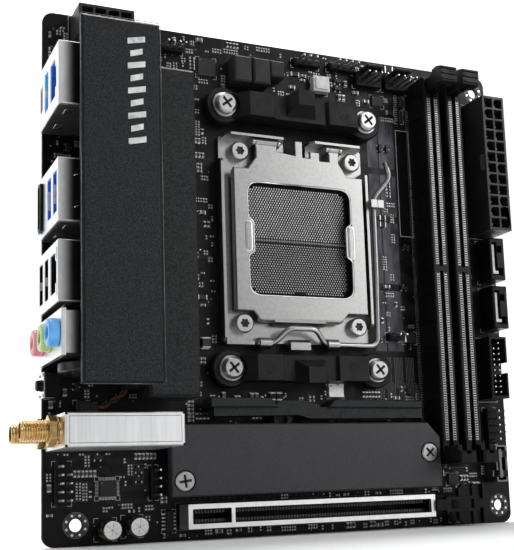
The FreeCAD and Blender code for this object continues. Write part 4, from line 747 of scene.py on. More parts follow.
# ================================================================ rear ports
def lined_opening(shape, y_mid, z_mid, width, height, depth, kind, clip, clip_kind, wall=0.28):
    """A thin moulded lining, open at the front, inside a port's opening, with a sprung clip on its lower wall."""
    face = measures("usb_port_shell_upper")[0]
    x0, x1 = face + 0.12, face + depth
    ya, yb = y_mid - width / 2 + 0.02, y_mid + width / 2 - 0.02
    za, zb = z_mid - height / 2 + 0.02, z_mid + height / 2 - 0.02
    for x, a0, a1, b0, b1 in ((x0, ya, ya + wall, za, zb), (x0, yb - wall, yb, za, zb), (x0, ya, yb, za, za + wall),
                              (x0, ya, yb, zb - wall, zb), (x1 - 0.3, ya, yb, za, zb)):
        shape.block(x, x1, a0, a1, b0, b1, 0.05, kind)
    shape.block(x0 + 0.1, x0 + 2.6, y_mid - clip, y_mid + clip, za + wall - 0.1, za + wall + 0.22, 0.1, clip_kind)


def tongue_with_contacts(shape, box, kind, contact_kind, pads, split=0.0, split_kind=0):
    """A port's moulded tongue with rounded edges, its contact strips, and a grey clip across its middle."""
    x0, x1, y0, y1, z0, z1 = box
    shape.block(x0, x1, y0, y1, z0, z1, 0.2, kind)
    mid = (y0 + y1) / 2
    for i in range(pads):
        y = mid + (i - (pads - 1) / 2) * (y1 - y0) / (pads + 0.5)
        shape.block(x0 + 0.5, x1 - 1.0, y - 0.4, y + 0.4, z0 - 0.08, z0 + 0.1, 0.04, contact_kind)
    if split:
        shape.block(x0 - 0.25, x0 + 2.5, mid - split / 2, mid + split / 2, z0 - 0.2, z1 + 0.2, 0.15, split_kind)


def make_port_insides():
    """Linings, tongues and contacts inside the three metal port shells."""
    shape = Shape()
    black, blue, light, metal, pale = range(5)
    for tongue in solids_of("rear_port_tongues"):
        x0, x1, y0, y1, z0, z1 = tongue
        # upper, middle and network stack, in this order along y
        kind, clip, split, thin = ((light, 1.2, 1.9, 1.0) if y0 > 120 else (blue, 2.9, 0.0, 1.2) if y0 > 90
                                   else (black, 1.3, 1.9, 1.0))
        if x1 - x0 < 5 and kind != blue:
            shape.block(*tongue, 0.15, black)
            for i in range(8):
                y = y0 + 0.5 + i * (y1 - y0 - 1.0) / 7
                shape.rod([(x0 + 0.2, y, z1 - 0.1), (x0 - 2.0, y, z1 - 1.2), (x0 - 6.0, y, z1 - 2.4)], 0.2, metal, 6)
        elif z1 - z0 < thin:
            shape.block(*tongue, 0.2, black)
        else:
            tongue_with_contacts(shape, tongue, kind, metal, 4, split, pale)
        if x1 - x0 > 9:
            lined_opening(shape, (y0 + y1) / 2, z0 - 0.1, 12.5, 5.12, 12.0, kind, clip, pale)
    bezel = measures("display_port_bezel")
    for y in (bezel[2] + 0.1, bezel[3] - 0.1):
        shape.block(bezel[0] - 0.05, bezel[0] + 0.6, y - 0.55, y + 0.55, bezel[4] + 0.2, bezel[4] + 1.7, 0.1, light)
    shape.build("port_linings", "plastic blue light_blue contact white_plastic", "blue_plastic",
                replaces=("rear_port_tongues",))


def make_modular_jacks():
    """The moulded insides of the two wide jacks, with comb teeth along their upper edge."""
    for node, name, kind, base in (("usb_port_shell_upper", "upper_wide_port_lining", "blue", 17.3),
                                   ("lan_port_shell", "network_jack_lining", "plastic", 17.2)):
        x0, x1, y0, y1, z0, z1 = measures(node)
        mid = (y0 + y1) / 2
        shape = Shape()
        depth = x0 + 13.6
        for side in (-1, 1):
            for near, far, low, high in ((5.88, 5.45, 0.05, 6.55), (5.88, 3.3, 6.1, 6.55), (3.18, 2.8, 6.2, 8.1)):
                shape.block(x0 + 0.3, depth, mid + side * near, mid + side * far, base + low, base + high)
        shape.block(x0 + 0.3, depth, mid - 5.8, mid + 5.8, base + 0.03, base + 0.4, 0.08, 0)
        shape.block(x0 + 0.3, depth, mid - 3.1, mid + 3.1, base + 7.75, base + 8.15, 0.08, 0)
        shape.block(depth - 0.6, depth, mid - 5.8, mid + 5.8, base + 0.05, base + 6.5, 0.08, 0)
        for i in range(9):
            y = mid - 4.4 + i * 1.1
            shape.block(x0 + 0.9, x0 + 7.0, y - 0.22, y + 0.22, base + 5.0, base + 6.6, 0.06, 1)
        shape.build(name, kind + " plastic", "black_plastic")


def make_port_details():
    """Ground springs, folded seams and solder legs of the port shells, and thin plates on their tops and lower sides:
    painted shadow from the heatsink on the tops, painted shade on the lower sides.
    """
    shape = Shape()
    for node in ("usb_port_shell_upper", "usb_port_shell_middle", "lan_port_shell"):
        x0, x1, y0, y1, z0, z1 = measures(node)
        # a dark plate on each shell's lower side: painted shade
        shape.block(x0 + 0.5, x1 - 0.3, y0 - 0.05, y0 + 0.1, 1.0, z1 - 0.5, 0.02, 2)
        # a plate on each shell's top whose colour darkens towards the heatsink: painted shadow
        shape.block(x0 + 0.35, x1 - 0.3, y0 + 0.45, y1 - 0.35, z1 - 0.1, z1 + 0.03, 0.02, 1)
        for y, side in ((y0, -1), (y1, 1)):
            for xa, xb, za, zb in ((x0 + 3.0, x0 + 5.4, 6.5, 10.5), (x0 + 3.0, x0 + 5.4, z1 - 9.0, z1 - 5.0),
                                   (x0 + 0.4, x1 - 0.6, z1 - 1.2, z1 - 0.7)):
                shape.block(xa, xb, y - side * 0.1, y + side * 0.16, za, zb, 0.06)
        for x in (x0 + 2.5, x1 - 3.0):
            for y in (y0 + 0.3, y1 - 0.3):
                shape.block(x - 0.6, x + 0.6, y - 0.25, y + 0.25, -BOARD_T - 1.0, 0.5, 0.08, 0)
    x0, _, y0, y1, _, z1 = measures("usb_port_shell_middle")
    for y in (y0 + 0.22 * (y1 - y0), y0 + 0.72 * (y1 - y0)):
        shape.rod([(x0 + 8.5, y + 0.9, z1 - 0.1), (x0 + 5.2, y + 0.3, z1 + 0.32), (x0 + 4.6, y, z1 + 0.3),
                   (x0 + 4.9, y - 0.3, z1 - 0.1)], 0.16, 0, 6)
    x0, x1, y0, y1, z0, z1 = measures("audio_jack_body")
    # the same painted-shadow plate on the audio block's top
    shape.block(x0 + 0.02, x1 - 0.3, y0 + 0.25, y1 - 0.25, z1 - 0.1, z1 + 0.03, 0.02, 1)
    shape.build("port_springs", "bright shell_top shell_side", "port_shell")


def make_audio_sleeves():
    """Three coloured jack sleeves with rounded rims and a metal ring deep in each bore."""
    shape = Shape()
    for i, (x0, x1, y0, y1, z0, z1) in enumerate(sorted(solids_of("audio_jack_sleeves"), key=lambda b: b[4])):
        at = (x0, (y0 + y1) / 2, (z0 + z1) / 2)
        r = (y1 - y0) / 2
        collar = 3.1        # the depth of the wide rim
        shape.lathe([(11.0, 1.8), (0.5, 1.8), (0.12, 2.05), (0.0, 2.4), (0.0, r - 0.75), (0.1, r - 0.35),
                     (0.4, r - 0.1), (0.8, r), (collar - 0.1, r), (collar, r - 0.1), (collar, 3.25), (11.4, 3.25),
                     (11.4, 1.8)], at, "x", i, 40)
        for d, r_ring in ((3.0, 1.3), (9.0, 1.1)):
            shape.lathe([(d, 1.79), (d, r_ring), (d + 0.6, r_ring), (d + 0.6, 1.79)], at, "x", 3, 24)
    shape.build("audio_sleeves", "jack_pink jack_green jack_blue gold", "jack_colours",
                replaces=("audio_jack_sleeves",))


def make_rear_button():
    """The push switch: moulded case with a steel face held by four bent corners."""
    x0, x1, y0, y1, z0, z1 = measures("rear_button_body")
    plunger = measures("rear_button_plunger")
    at = centre(plunger)
    hole = (plunger[3] - plunger[2]) / 2 + 0.25
    shape = Shape()
    shape.block(x0 + 0.75, x1, y0 + 0.15, y1 - 0.15, z0 + 0.05, z1 - 0.1, 0.2, 0)
    outer, inner = [], []
    for c, s in circle(32, 0.5):
        reach = 1 / max(abs(c) / ((y1 - y0) / 2), abs(s) / ((z1 - z0 - 0.3) / 2))
        outer.append((at[1] + c * reach, (z0 + z1) / 2 + 0.1 + s * reach))
        inner.append((at[1] + hole * c, at[2] + hole * s))
    shape.loft([[(x0 + d, *p) for p in ring] for ring, d in ((inner, 0.3), (outer, 0.3), (outer, 0.72),
                                                             (inner, 0.72), (inner, 0.3))], 1, ends="open")
    for sy in (-1, 1):
        for sz in (-1, 1):
            spot = (x0 - 0.05, at[1] + sy * 3.1, (z0 + z1) / 2 + 0.1 + sz * 2.6)
            shape.lathe([(0.0, 0.3), (0.05, 0.5), (0.5, 0.55)], spot, "x", 1, 14)
            shape.rod([(x0 + 0.5, spot[1], spot[2]), (x0 + 1.6, spot[1] + sy * 0.7, spot[2]),
                       (x0 + 3.6, spot[1] + sy * 0.72, spot[2])], 0.14, 1, 6)
    shape.build("button_case", "plastic bright", "pressed_steel", replaces=("rear_button_body",))


# ================================================================ wireless module
def make_antenna_jacks():
    """Gold coaxial jacks with a real helical thread, a pale insulator and a hollow centre contact."""
    shape = Shape()
    steps, pitch, root, crest, thread, count = 36, 0.72, 2.66, 3.1, 7.6, 76
    for x0, x1, y0, y1, z0, z1 in sorted(solids_of("antenna_jacks"), key=lambda b: b[4]):
        at = (x0, (y0 + y1) / 2, (z0 + z1) / 2)
        rows = []
        for j in range(count + 1):
            d = 0.15 + (thread - 0.15) * j / count
            fade = min(1.0, d / 0.8, (thread - d) / 0.5 + 0.15)
            ring = []
            for i, (c, s) in enumerate(circle(steps)):
                turn = (d / pitch - i / steps) % 1.0
                r = root + (crest - root) * min(1.0, 2.4 * abs(turn - 0.5)) * fade
                ring.append((at[0] + d, at[1] + r * c, at[2] + r * s))
            rows.append(ring)
        shape.loft(rows, 0, ends="open", smooth=True)
        shape.lathe([(8.0, 2.3), (0.1, 2.3), (0.0, 2.4), (0.0, 2.5), (0.15, root)], at, "x", 0, steps, capped=False)
        shape.lathe([(thread, root), (thread, 2.8), (11.3, 2.8), (11.3, 2.5), (14.0, 2.5), (14.0, 0.0)], at, "x", 0,
                    steps)
        shape.lathe([(8.0, 2.3), (7.2, 2.2), (7.2, 1.2), (8.0, 1.15)], at, "x", 1, 24, capped=False)
        shape.lathe([(8.0, 1.15), (1.5, 1.15), (1.2, 0.95), (1.2, 0.55), (5.0, 0.5), (5.0, 0.0)], at, "x", 0, 24)
    shape.build("threaded_antenna_jacks", "gold white_plastic", "gold_plate",
                replaces=("antenna_jacks",))


def make_antenna_washers():
    """Lock washers with slanted teeth round their rims."""
    shape = Shape()
    profile = (
        # depth, radius, toothed, shift of the teeth
        (0.0, 2.8, 0, 0), (0.0, 4.3, 1, 0), (0.16, 4.4, 1, 1), (0.44, 4.4, 1, 2), (0.6, 4.3, 1, 3), (0.6, 4.0, 0, 0),
        (1.55, 4.0, 0, 0), (1.55, 2.8, 0, 0), (0.0, 2.8, 0, 0),
    )
    for box in sorted(solids_of("antenna_washers"), key=lambda b: b[4]):
        _, y, z = centre(box)
        rows = []
        for d, radius, toothed, shift in profile:
            ring = []
            for i, (c, s) in enumerate(circle(72)):
                r = radius - (0.42 if toothed and (i + shift) % 4 < 2 else 0.0)
                ring.append((box[0] + d, y + r * c, z + r * s))
            rows.append(ring)
        shape.loft(rows, 0, ends="open")
    shape.build("toothed_washers", "gold", "gold_plate", replaces=("antenna_washers",))


def make_can_lid():
    """A brushed plate on the module's can, with folded-in corner notches and a shallow border; the border's line and
    the notches are dark pieces, painted shade.
    """
    x0, x1, y0, y1, z0, z1 = measures("wifi_can")
    shape = Shape()
    inset, n, line = 0.45, 0.9, 1.15        # of the plate, its corner notches and its border line
    a0, a1, b0, b1 = x0 + inset, x1 - inset, y0 + inset, y1 - inset
    outline = [(a0 + n, b0), (a1 - n, b0), (a1 - n, b0 + 0.4), (a1, b0 + 0.4), (a1, b1 - 0.4), (a1 - n, b1 - 0.4),
               (a1 - n, b1), (a0 + n, b1), (a0 + n, b1 - 0.4), (a0, b1 - 0.4), (a0, b0 + 0.4), (a0 + n, b0 + 0.4)]
    shape.raised(outline, z1 - 0.1, z1 + 0.12, 0)
    # dark strips along the border line: painted shade in its crease
    for y in (y0 + line, y1 - line):
        shape.block(x0 + line, x1 - line, y - 0.07, y + 0.07, z1, z1 + 0.14, 0.02, 1)
    for x in (x0 + line, x1 - line):
        shape.block(x - 0.07, x + 0.07, y0 + line, y1 - line, z1, z1 + 0.14, 0.02, 1)
    # dark blocks under the corner notches: painted shade in the notches
    for x in (x0 + 0.35, x1 - 0.35):
        for y in (y0 + 0.35, y1 - 0.35):
            shape.block(x - 0.34, x + 0.34, y - 0.34, y + 0.34, z1 - 1.6, z1 + 0.06, 0.05, 1)
    for x, z, (side, y) in itertools.product((12.0, 25.0), (5.0, 14.0, 23.0), ((-1, y0), (1, y1))):
        shape.lathe([(0.0, 0.9), (side * 0.05, 0.75), (side * 0.09, 0.0)], (x0 + x, y, z), "y", 2, 20, capped=False)
    shape.build("wireless_can_lid", "brushed plastic shell", "shield_steel")


# ================================================================ battery lead
def smoothed(path, rounds=3):
    """A path with its corners cut away again and again, its ends held."""
    for _ in range(rounds):
        cut = [path[0]]
        for a, b in zip(path, path[1:]):
            cut.append(tuple(0.75 * p + 0.25 * q for p, q in zip(a, b)))
            cut.append(tuple(0.25 * p + 0.75 * q for p, q in zip(a, b)))
        path = cut + [path[-1]]
    return path


def make_battery_lead():
    """Two insulated wires twisted round each other, from the cell to its plug."""
    path = [Vector(p) for p in smoothed([(16.2, 52.3, 5.0), (20.4, 52.6, 4.1), (24.2, 51.6, 3.1), (26.2, 48.6, 2.4),
                                         (23.9, 45.4, 2.1), (20.0, 43.2, 2.1), (16.4, 41.8, 2.4)])]
    shape = Shape()
    side = Vector((0.0, 0.0, 1.0))
    travelled = 0.0
    strands = ([], [])
    for i, p in enumerate(path):
        ahead = (path[min(i + 1, len(path) - 1)] - path[max(i - 1, 0)]).normalized()
        side = (side - ahead * side.dot(ahead)).normalized()
        other = ahead.cross(side)
        if i:
            travelled += (p - path[i - 1]).length
        a = 2 * math.pi * travelled / 7.5
        swing = (side * math.cos(a) + other * math.sin(a)) * 0.5
        strands[0].append(tuple(p + swing))
        strands[1].append(tuple(p - swing))
    for kind, strand in enumerate(strands):
        shape.rod(strand, 0.48, kind, 10)
    shape.build("battery_wires", "brown_wire black_wire", "lead_insulation",
                replaces=("battery_lead",))


# ================================================================ parts on the board
LEAD_STEPS = ((-0.1, 0.45, 0.45, 0.62), (0.35, 1.0, 0.02, 0.2), (0.3, 0.47, 0.04, 0.6))   # near, far, low, high


def leads_along(shape, x0, x1, y0, y1, sides, count, kind):
    """Bent leads along some of a chip's sides: west, east, south or north."""
    edges = {"w": (x0, -1), "e": (x1, 1), "s": (y0, -1), "n": (y1, 1)}
    for side in sides:
        edge, out = edges[side]
        start, end = (y0, y1) if side in "we" else (x0, x1)
        half = 0.22 * (end - start) / count
        for i in range(count):
            t = start + (i + 0.5) / count * (end - start)
            for near, far, low, high in LEAD_STEPS:
                across, along = (edge + out * near, edge + out * far), (t - half, t + half)
                spans = across + along if side in "we" else along + across
                shape.block(*spans, low, high, 0.03, kind)


def chip_body(shape, x0, x1, y0, y1, height, kind, dot_kind, lift=0.12):
    """A moulded body with a drafted edge and a dimple that marks its first pin."""
    mid = 0.5 * (height + lift)
    d = 0.12
    shape.loft([[(x0 + inset, y0 + inset, z), (x1 - inset, y0 + inset, z), (x1 - inset, y1 - inset, z),
                 (x0 + inset, y1 - inset, z)]
                for inset, z in ((d, lift), (0.0, mid - 0.05), (0.0, mid + 0.05), (d, height - 0.06),
                                 (d + 0.06, height))], kind)
    r = min(0.35, 0.09 * min(x1 - x0, y1 - y0))
    shape.lathe([(0.0, r), (0.012, r * 0.8), (0.012, 0.0)], (x0 + 0.5 + r, y1 - 0.5 - r, height), "z", dot_kind, 14)


LEADED_CHIPS = (
    # range of x0, range of y0, inset of the body in x and y, inset of the lead rows, sides, leads on each
    (16, 17, 0, 170, 0.7, 0.7, 0.7, "wesn", 12), (129, 130, 140, 170, 0.5, 0.0, 0.1, "we", 5),
    (37, 38, 0, 12, 0.6, 0.0, 0.3, "we", 5),
)


def make_chips():
    """The board's chips: leaded, leadless and metal-ended ones, each over its real solid."""
    shape = Shape()
    resin, tin, dot, pale, white = range(5)
    for x0, x1, y0, y1, z0, z1 in solids_of("controller_chips"):
        leaded = [style[4:] for style in LEADED_CHIPS if style[0] < x0 < style[1] and style[2] < y0 < style[3]]
        if z1 > 3.0:
            shape.block(x0, x1, y0, y1, 0.1, z1 - 0.5, 0.2, white)
            shape.block(x0 + 0.7, x1 - 0.7, y0 + 0.7, y1 - 0.7, z1 - 0.8, z1, 0.25, white)
            for y in (y0 + 1.0, y1 - 2.0):
                shape.block(x0 - 0.3, x1 + 0.3, y, y + 1.0, 0.02, 0.4, 0.05, tin)
        elif leaded:
            in_x, in_y, in_row, sides, count = leaded[0]
            chip_body(shape, x0 + in_x, x1 - in_x, y0 + in_y, y1 - in_y, z1, resin, dot)
            leads_along(shape, x0 + in_x, x1 - in_x, y0 + in_row, y1 - in_row, sides, count, tin)
        elif 128 < x0 < 129 and 64 < y0 < 66:
            chip_body(shape, x0 + 0.4, x1 - 0.4, y0, y1, z1, resin, dot)
            for x in (x0, x1 - 0.9):
                shape.block(x, x + 0.9, y0 + 0.15, y1 - 0.15, 0.0, z1 - 0.1, 0.1, tin)
        else:
            kind = pale if 96 < x0 < 98 and y1 < 60 else resin
            chip_body(shape, x0, x1, y0, y1, z1, kind, dot, 0.05)
            pitch = 0.65
            count = max(3, int((y1 - y0) / pitch))
            for i in range(count):
                y = y0 + (i + 0.5) * (y1 - y0) / count
                shape.block(x0 - 0.15, x1 + 0.15, y - 0.13, y + 0.13, 0.0, 0.16, 0.03, tin)
            count = max(3, int((x1 - x0) / pitch))
            for i in range(count if (x1 - x0) * (y1 - y0) > 12 else 0):
                x = x0 + (i + 0.5) * (x1 - x0) / count
                shape.block(x - 0.13, x + 0.13, y0 - 0.15, y1 + 0.15, 0.0, 0.16, 0.03, tin)
    shape.build("board_chips", "resin tin print_dim can_top white_plastic", "chip_resin",
                replaces=("controller_chips",))


def make_capacitors():
    """Two electrolytic cans: sleeve with a pale stripe, rolled groove, and a scored metal top."""
    shape = Shape()
    for x0, x1, y0, y1, z0, z1 in solids_of("capacitors"):
        x, y, r = (x0 + x1) / 2, (y0 + y1) / 2, (x1 - x0) / 2
        shape.lathe([(0.35, 0.0), (0.35, r - 0.5), (0.5, r - 0.1), (0.9, r - 0.05), (1.5, r - 0.32), (1.8, r - 0.32),
                     (2.3, r - 0.02), (z1 - 0.5, r), (z1 - 0.12, r - 0.12), (z1 - 0.05, r - 0.4)], (x, y, 0.0), "z",
                    0, 40, capped=False)
        shape.lathe([(z1 - 0.07, r - 0.38), (z1, r - 0.5), (z1 - 0.05, 0.0)], (x, y, 0.0), "z", 1, 40, capped=False)
        for i in range(3):
            a = 0.35 + i * math.pi / 3
            c, s = math.cos(a) * (r - 0.9), math.sin(a) * (r - 0.9)
            shape.rod([(x - c, y - s, z1 - 0.02), (x + c, y + s, z1 - 0.02)], 0.045, 3, 5)
        stripe = []
        for reach, span in ((0.012, range(-28, 29, 7)), (-0.1, range(28, -29, -7))):
            for a in span:
                a = math.radians(a + 200)
                stripe.append((x + (r + reach) * math.cos(a), y + (r + reach) * math.sin(a)))
        shape.loft([[(*p, z) for p in stripe] for z in (2.4, z1 - 0.55)], 2, "strip")
    shape.build("electrolytic_cans", "sleeve can_top gold resin", "capacitor_can",
                replaces=("capacitors",))


def make_data_port_tongues():
    """Pale keyed tongues with contact strips, fitted over the tongues of the two data ports."""
    shape = Shape()
    for x0, x1, y0, y1, z0, z1 in solids_of("sata_ports"):
        shape.block(x0 + 1.6, x0 + 2.7, y0 + 2.35, y1 - 2.35, 1.65, 7.46, 0.12, 0)
        shape.block(x0 + 2.5, x0 + 4.15, y0 + 2.35, y0 + 3.55, 1.65, 7.46, 0.12, 0)
        for i in range(7):
            y = y0 + 3.6 + i * 1.27
            shape.block(x0 + 1.48, x0 + 1.65, y - 0.32, y + 0.32, 2.0, 6.7, 0.05, 1)
    x0, x1, y0, y1, z0, z1 = measures("front_type_c_header")
    shape.block(x0 + 1.76, x0 + 2.84, y0 + 1.36, y1 - 1.36, 1.0, 6.0, 0.1, 2)
    for i in range(10):
        y = y0 + 2.3 + i * 0.95
        shape.block(x0 + 1.64, x0 + 1.8, y - 0.22, y + 0.22, 1.5, 5.8, 0.04, 1)
    shape.build("data_port_tongues", "white_plastic contact plastic", "header_plastic")


def make_pin_tips():
    """Bright tips on the pins of the processor power header."""
    shape = Shape()
    for x0, x1, y0, y1, z0, z1 in solids_of("power_header_pins"):
        x, y = (x0 + x1) / 2, (y0 + y1) / 2
        if x < 60:
            shape.block(x - 0.45, x + 0.45, y - 0.45, y + 0.45, z1 - 0.1, z1 + 0.25, 0.12, 0)
    shape.build("power_pin_tips", "tin", "tin_plate")


def make_bracket_marks():
    """Round moulding marks and ribs on the two cooler brackets."""
    shape = Shape()
    for node in ("cooler_bracket_upper", "cooler_bracket_lower"):
        mid, across, _ = centre(measures(node))
        z1 = 9.6            # the top of the brackets' blocks
        for dx in (-15.0, 16.0):
            shape.lathe([(-0.1, 1.9), (0.05, 1.9), (0.12, 1.8), (0.12, 1.45), (0.05, 1.35), (0.05, 0.0)],
                        (mid + dx, across, z1), "z", 0, 28)
            shape.lathe([(0.0, 0.55), (0.1, 0.5), (0.1, 0.0)], (mid + dx, across, z1), "z", 0, 16)
    shape.build("bracket_marks", "textured", "black_plastic")


# ================================================================ the board's two faces
FRONT, BACK = 1, -1


def face_z(side, lift):
    """A height above the component side, or below the solder side."""
    return lift if side == FRONT else -BOARD_T - lift


def offset_path(path, by):
    """A bent line moved sideways by a distance, with mitred corners."""
    moved = []
    for i, (x, y) in enumerate(path):
        normals = []
        for a, b in ((i - 1, i), (i, i + 1)):
            if 0 <= a and b < len(path):
                dx, dy = path[b][0] - path[a][0], path[b][1] - path[a][1]
                length = math.hypot(dx, dy)
                normals.append((-dy / length, dx / length))
        nx, ny = (sum(c) / len(normals) for c in zip(*normals))
        size = nx * nx + ny * ny
        moved.append((x + by * nx / size, y + by * ny / size))
    return moved


def ribbon(shape, path, width, side, kind, lift=0.018, by=0.0):
    """A thin printed or etched line along a bent path on one face of the board."""
    left, right = offset_path(path, by + width / 2), offset_path(path, by - width / 2)
    low, high = face_z(side, -0.03), face_z(side, lift)
    rows = [[(*a, low), (*a, high), (*b, high), (*b, low)] for a, b in zip(left, right)]
    shape.loft(rows, kind)


def bundle(shape, start, legs, count, side=FRONT, kind=0, pitch=0.36, width=0.17):
    """Parallel traces that bend together; legs are the steps from one corner to the next."""
    path = [start]
    for dx, dy in legs:
        path.append((path[-1][0] + dx, path[-1][1] + dy))
    for k in range(count):
        ribbon(shape, path, width, side, kind, by=(k - (count - 1) / 2) * pitch)


def dot(shape, x, y, r, side, kind, height=0.02, steps=10):
    """A low round pad or solder joint on one face of the board."""
    z = face_z(side, -0.02)
    shape.lathe([(0.0, r), (side * (height + 0.01), r), (side * (height + 0.02), 0.75 * r),
                 (side * (height + 0.02), 0.0)], (x, y, z), "z", kind, steps, capped=False)


def solder_cone(shape, x, y, r, kind):
    """Solder that has climbed a pin on the solder side."""
    shape.lathe([(0.02, r), (-0.06, r), (-0.32, 0.68 * r), (-0.8, 0.42 * r), (-1.12, 0.28 * r), (-1.2, 0.0)],
                (x, y, -BOARD_T), "z", kind, 14, capped=False)


def printed_box(shape, x0, x1, y0, y1, kind, width=0.16, side=FRONT):
    """A printed rectangle round a part."""
    for path in ([(x0, y0), (x1, y0)], [(x1, y0), (x1, y1)], [(x1, y1), (x0, y1)], [(x0, y1), (x0, y0)]):
        ribbon(shape, path, width, side, kind, 0.03)


def taken_places():
    """The parts of the component side that stand under other things."""
    boxes = []
    for node in NODES:
        if node in ("pcb", "vrm_heatsink"):
            continue
        for x0, x1, y0, y1, z0, z1 in solids_of(node):
            if z0 < 1.2 and z1 > 0.3:
                boxes.append((x0, x1, y0, y1))
    boxes += [(x - 4.6, x + 4.6, y - 4.6, y + 4.6) for x, y in MOUNT_HOLES]
    boxes.append(LABEL)
    return boxes


# the four case holes of this board format
MOUNT_HOLES = ((10.16, 6.35), (165.1, 6.35), (33.02, 163.83), (165.1, 163.83))
# the plain patch beside the memory slots
LABEL = (129.4, 134.8, 104.5, 144.8)
FRONT_REGIONS = (
    # x0, x1, y0, y1, tries
    (29, 161, 150, 169.6, 420), (45, 57, 52, 150, 190), (115.5, 136, 60, 150, 70), (58, 136, 37, 50, 210),
    (45, 62, 37, 60, 60), (0.8, 41, 9, 28.2, 90), (13, 36, 0.8, 12, 24), (1.5, 8.2, 149, 166, 70),
    (36, 160, 0.8, 3.2, 120), (60, 160, 11.6, 13.4, 60), (136, 160, 12, 21, 70), (151.4, 159.6, 22, 160, 120),
    (2, 20, 112.9, 128.8, 60), (2, 20, 88.7, 93.5, 20), (2, 24, 149, 160, 60), (1.5, 30, 39, 50, 80),
    (2, 20, 67.3, 70.1, 10), (135, 137.5, 24, 150, 40), (29, 44, 145, 158, 50), (132, 160, 37, 62, 20),
    (100, 134, 62, 72, 20),
)
BACK_PINS = ("power_header_pins", "header_pins", "slot_contacts", "fan_headers", "rear_port_tongues")
HEATSINK_SCREWS = [centre(box)[:2] for box in solids_of("vrm_heatsink_screws")]
BACK_REGIONS = ((8, 52, 52, 150, 60), (122, 160, 25, 160, 120), (20, 150, 8, 45, 150), (40, 150, 152, 168, 60))
PART_SIZES = (
    # length, width, height, body, share
    (1.0, 0.5, 0.4, 1, 30), (1.0, 0.5, 0.33, 2, 24), (1.6, 0.8, 0.72, 1, 14), (1.6, 0.8, 0.45, 2, 8),
    (2.0, 1.25, 0.95, 1, 8), (3.2, 1.6, 0.6, 2, 3), (2.5, 2.0, 1.1, 3, 3), (3.5, 2.8, 1.9, 3, 2),
    (2.9, 1.4, 1.0, 4, 6),
)


def small_part(shape, x, y, size, upright, side):
    """One chip resistor, capacitor, inductor or three-legged part, with its solder pads."""
    length, width, height, body, _ = size
    tin = 0

    def put(a0, a1, b0, b1, z0, z1, edge, kind):
        if upright:
            a0, a1, b0, b1 = b0, b1, a0, a1
        shape.block(x + a0, x + a1, y + b0, y + b1, face_z(side, z0), face_z(side, z1), edge, kind)

    half, wide = length / 2, width / 2
    if body == 4:
        put(-half, half, -wide + 0.05, wide - 0.05, 0.1, height, 0.1, 2)
        for a, out in ((-0.95, -1), (0.95, -1), (0.0, 1)):
            put(a - 0.2, a + 0.2, out * (wide - 0.1), out * (wide + 0.55), 0.02, 0.18, 0.04, tin)
        return
    end = min(0.3 * length, 0.26 + 0.06 * length)
    put(-half + 0.6 * end, half - 0.6 * end, -wide + 0.02, wide - 0.02, 0.03, height, 0.05, body)
    put(-half, -half + end, -wide, wide, 0.01, height + 0.01, 0.07, tin)
    put(half - end, half, -wide, wide, 0.01, height + 0.01, 0.07, tin)
    for out in (-1, 1):
        put(out * (half - end), out * (half + 0.22), -wide - 0.04, wide + 0.04, -0.03, 0.05, 0.02, tin)


def scatter(shape, marks, regions, taken, side, rng):
    """Rows of small parts in the open places of the board, with printed marks beside some of them."""
    weights = [size[4] for size in PART_SIZES]
    for x0, x1, y0, y1, tries in regions:
        for _ in range(tries):
            size = rng.choices(PART_SIZES, weights)[0]
            upright = rng.random() < 0.5
            count = rng.choice((1, 1, 2, 3, 4, 6)) if size[0] < 1.7 else rng.choice((1, 1, 2))
            a, b = (size[1], size[0] + 0.44) if upright else (size[0] + 0.44, size[1])
            if size[3] == 4:
                a, b = (size[1] + 1.1, size[0]) if upright else (size[0], size[1] + 1.1)
            step = (a if upright else b) + 0.42
            w, h = (step * count, b) if upright else (a, step * count)
            if w > x1 - x0 or h > y1 - y0:
                continue
            x = round(rng.uniform(x0, x1 - w) * 4) / 4
            y = round(rng.uniform(y0, y1 - h) * 4) / 4
            gap = 0.28
            if any(x - gap < bx1 and x + w + gap > bx0 and y - gap < by1 and y + h + gap > by0
                   for bx0, bx1, by0, by1 in taken):
                continue
            taken.append((x, x + w, y, y + h))
            for i in range(count):
                along = (i + 0.5) * step
                cx, cy = (x + along, y + h / 2) if upright else (x + w / 2, y + along)
                small_part(shape, cx, cy, size, upright, side)
            if side == FRONT and count > 1 and rng.random() < 0.5:
                printed_box(marks, x - 0.12, x + w + 0.12, y - 0.12, y + h + 0.12, 1, 0.09)


def make_small_parts():
    """Several hundred small parts on the component side and fewer on the solder side."""
    rng = random.Random(8)
    front, marks, back = Shape(), Shape(), Shape()
    taken = taken_places()
    scatter(front, marks, FRONT_REGIONS, taken, FRONT, rng)
    behind = [(55, 120, 48, 151)] + [(x - 4.6, x + 4.6, y - 4.6, y + 4.6) for x, y in MOUNT_HOLES]
    behind += [(x0 - 0.8, x1 + 0.8, y0 - 0.8, y1 + 0.8) for node in BACK_PINS
               for x0, x1, y0, y1, z0, z1 in solids_of(node) if z0 < -BOARD_T - 0.1]
    behind += [(x - 3.4, x + 3.6, y - 4, y + 4) for x, y in HEATSINK_SCREWS]
    scatter(back, marks, BACK_REGIONS, behind, BACK, rng)
    kinds = "tin ceramic resistor choke"
    front.build("small_parts", kinds, "tin_plate")
    back.build("solder_side_parts", kinds, "tin_plate")
    marks.build("part_outlines", "print print_dim", "board_laminate")
    return taken


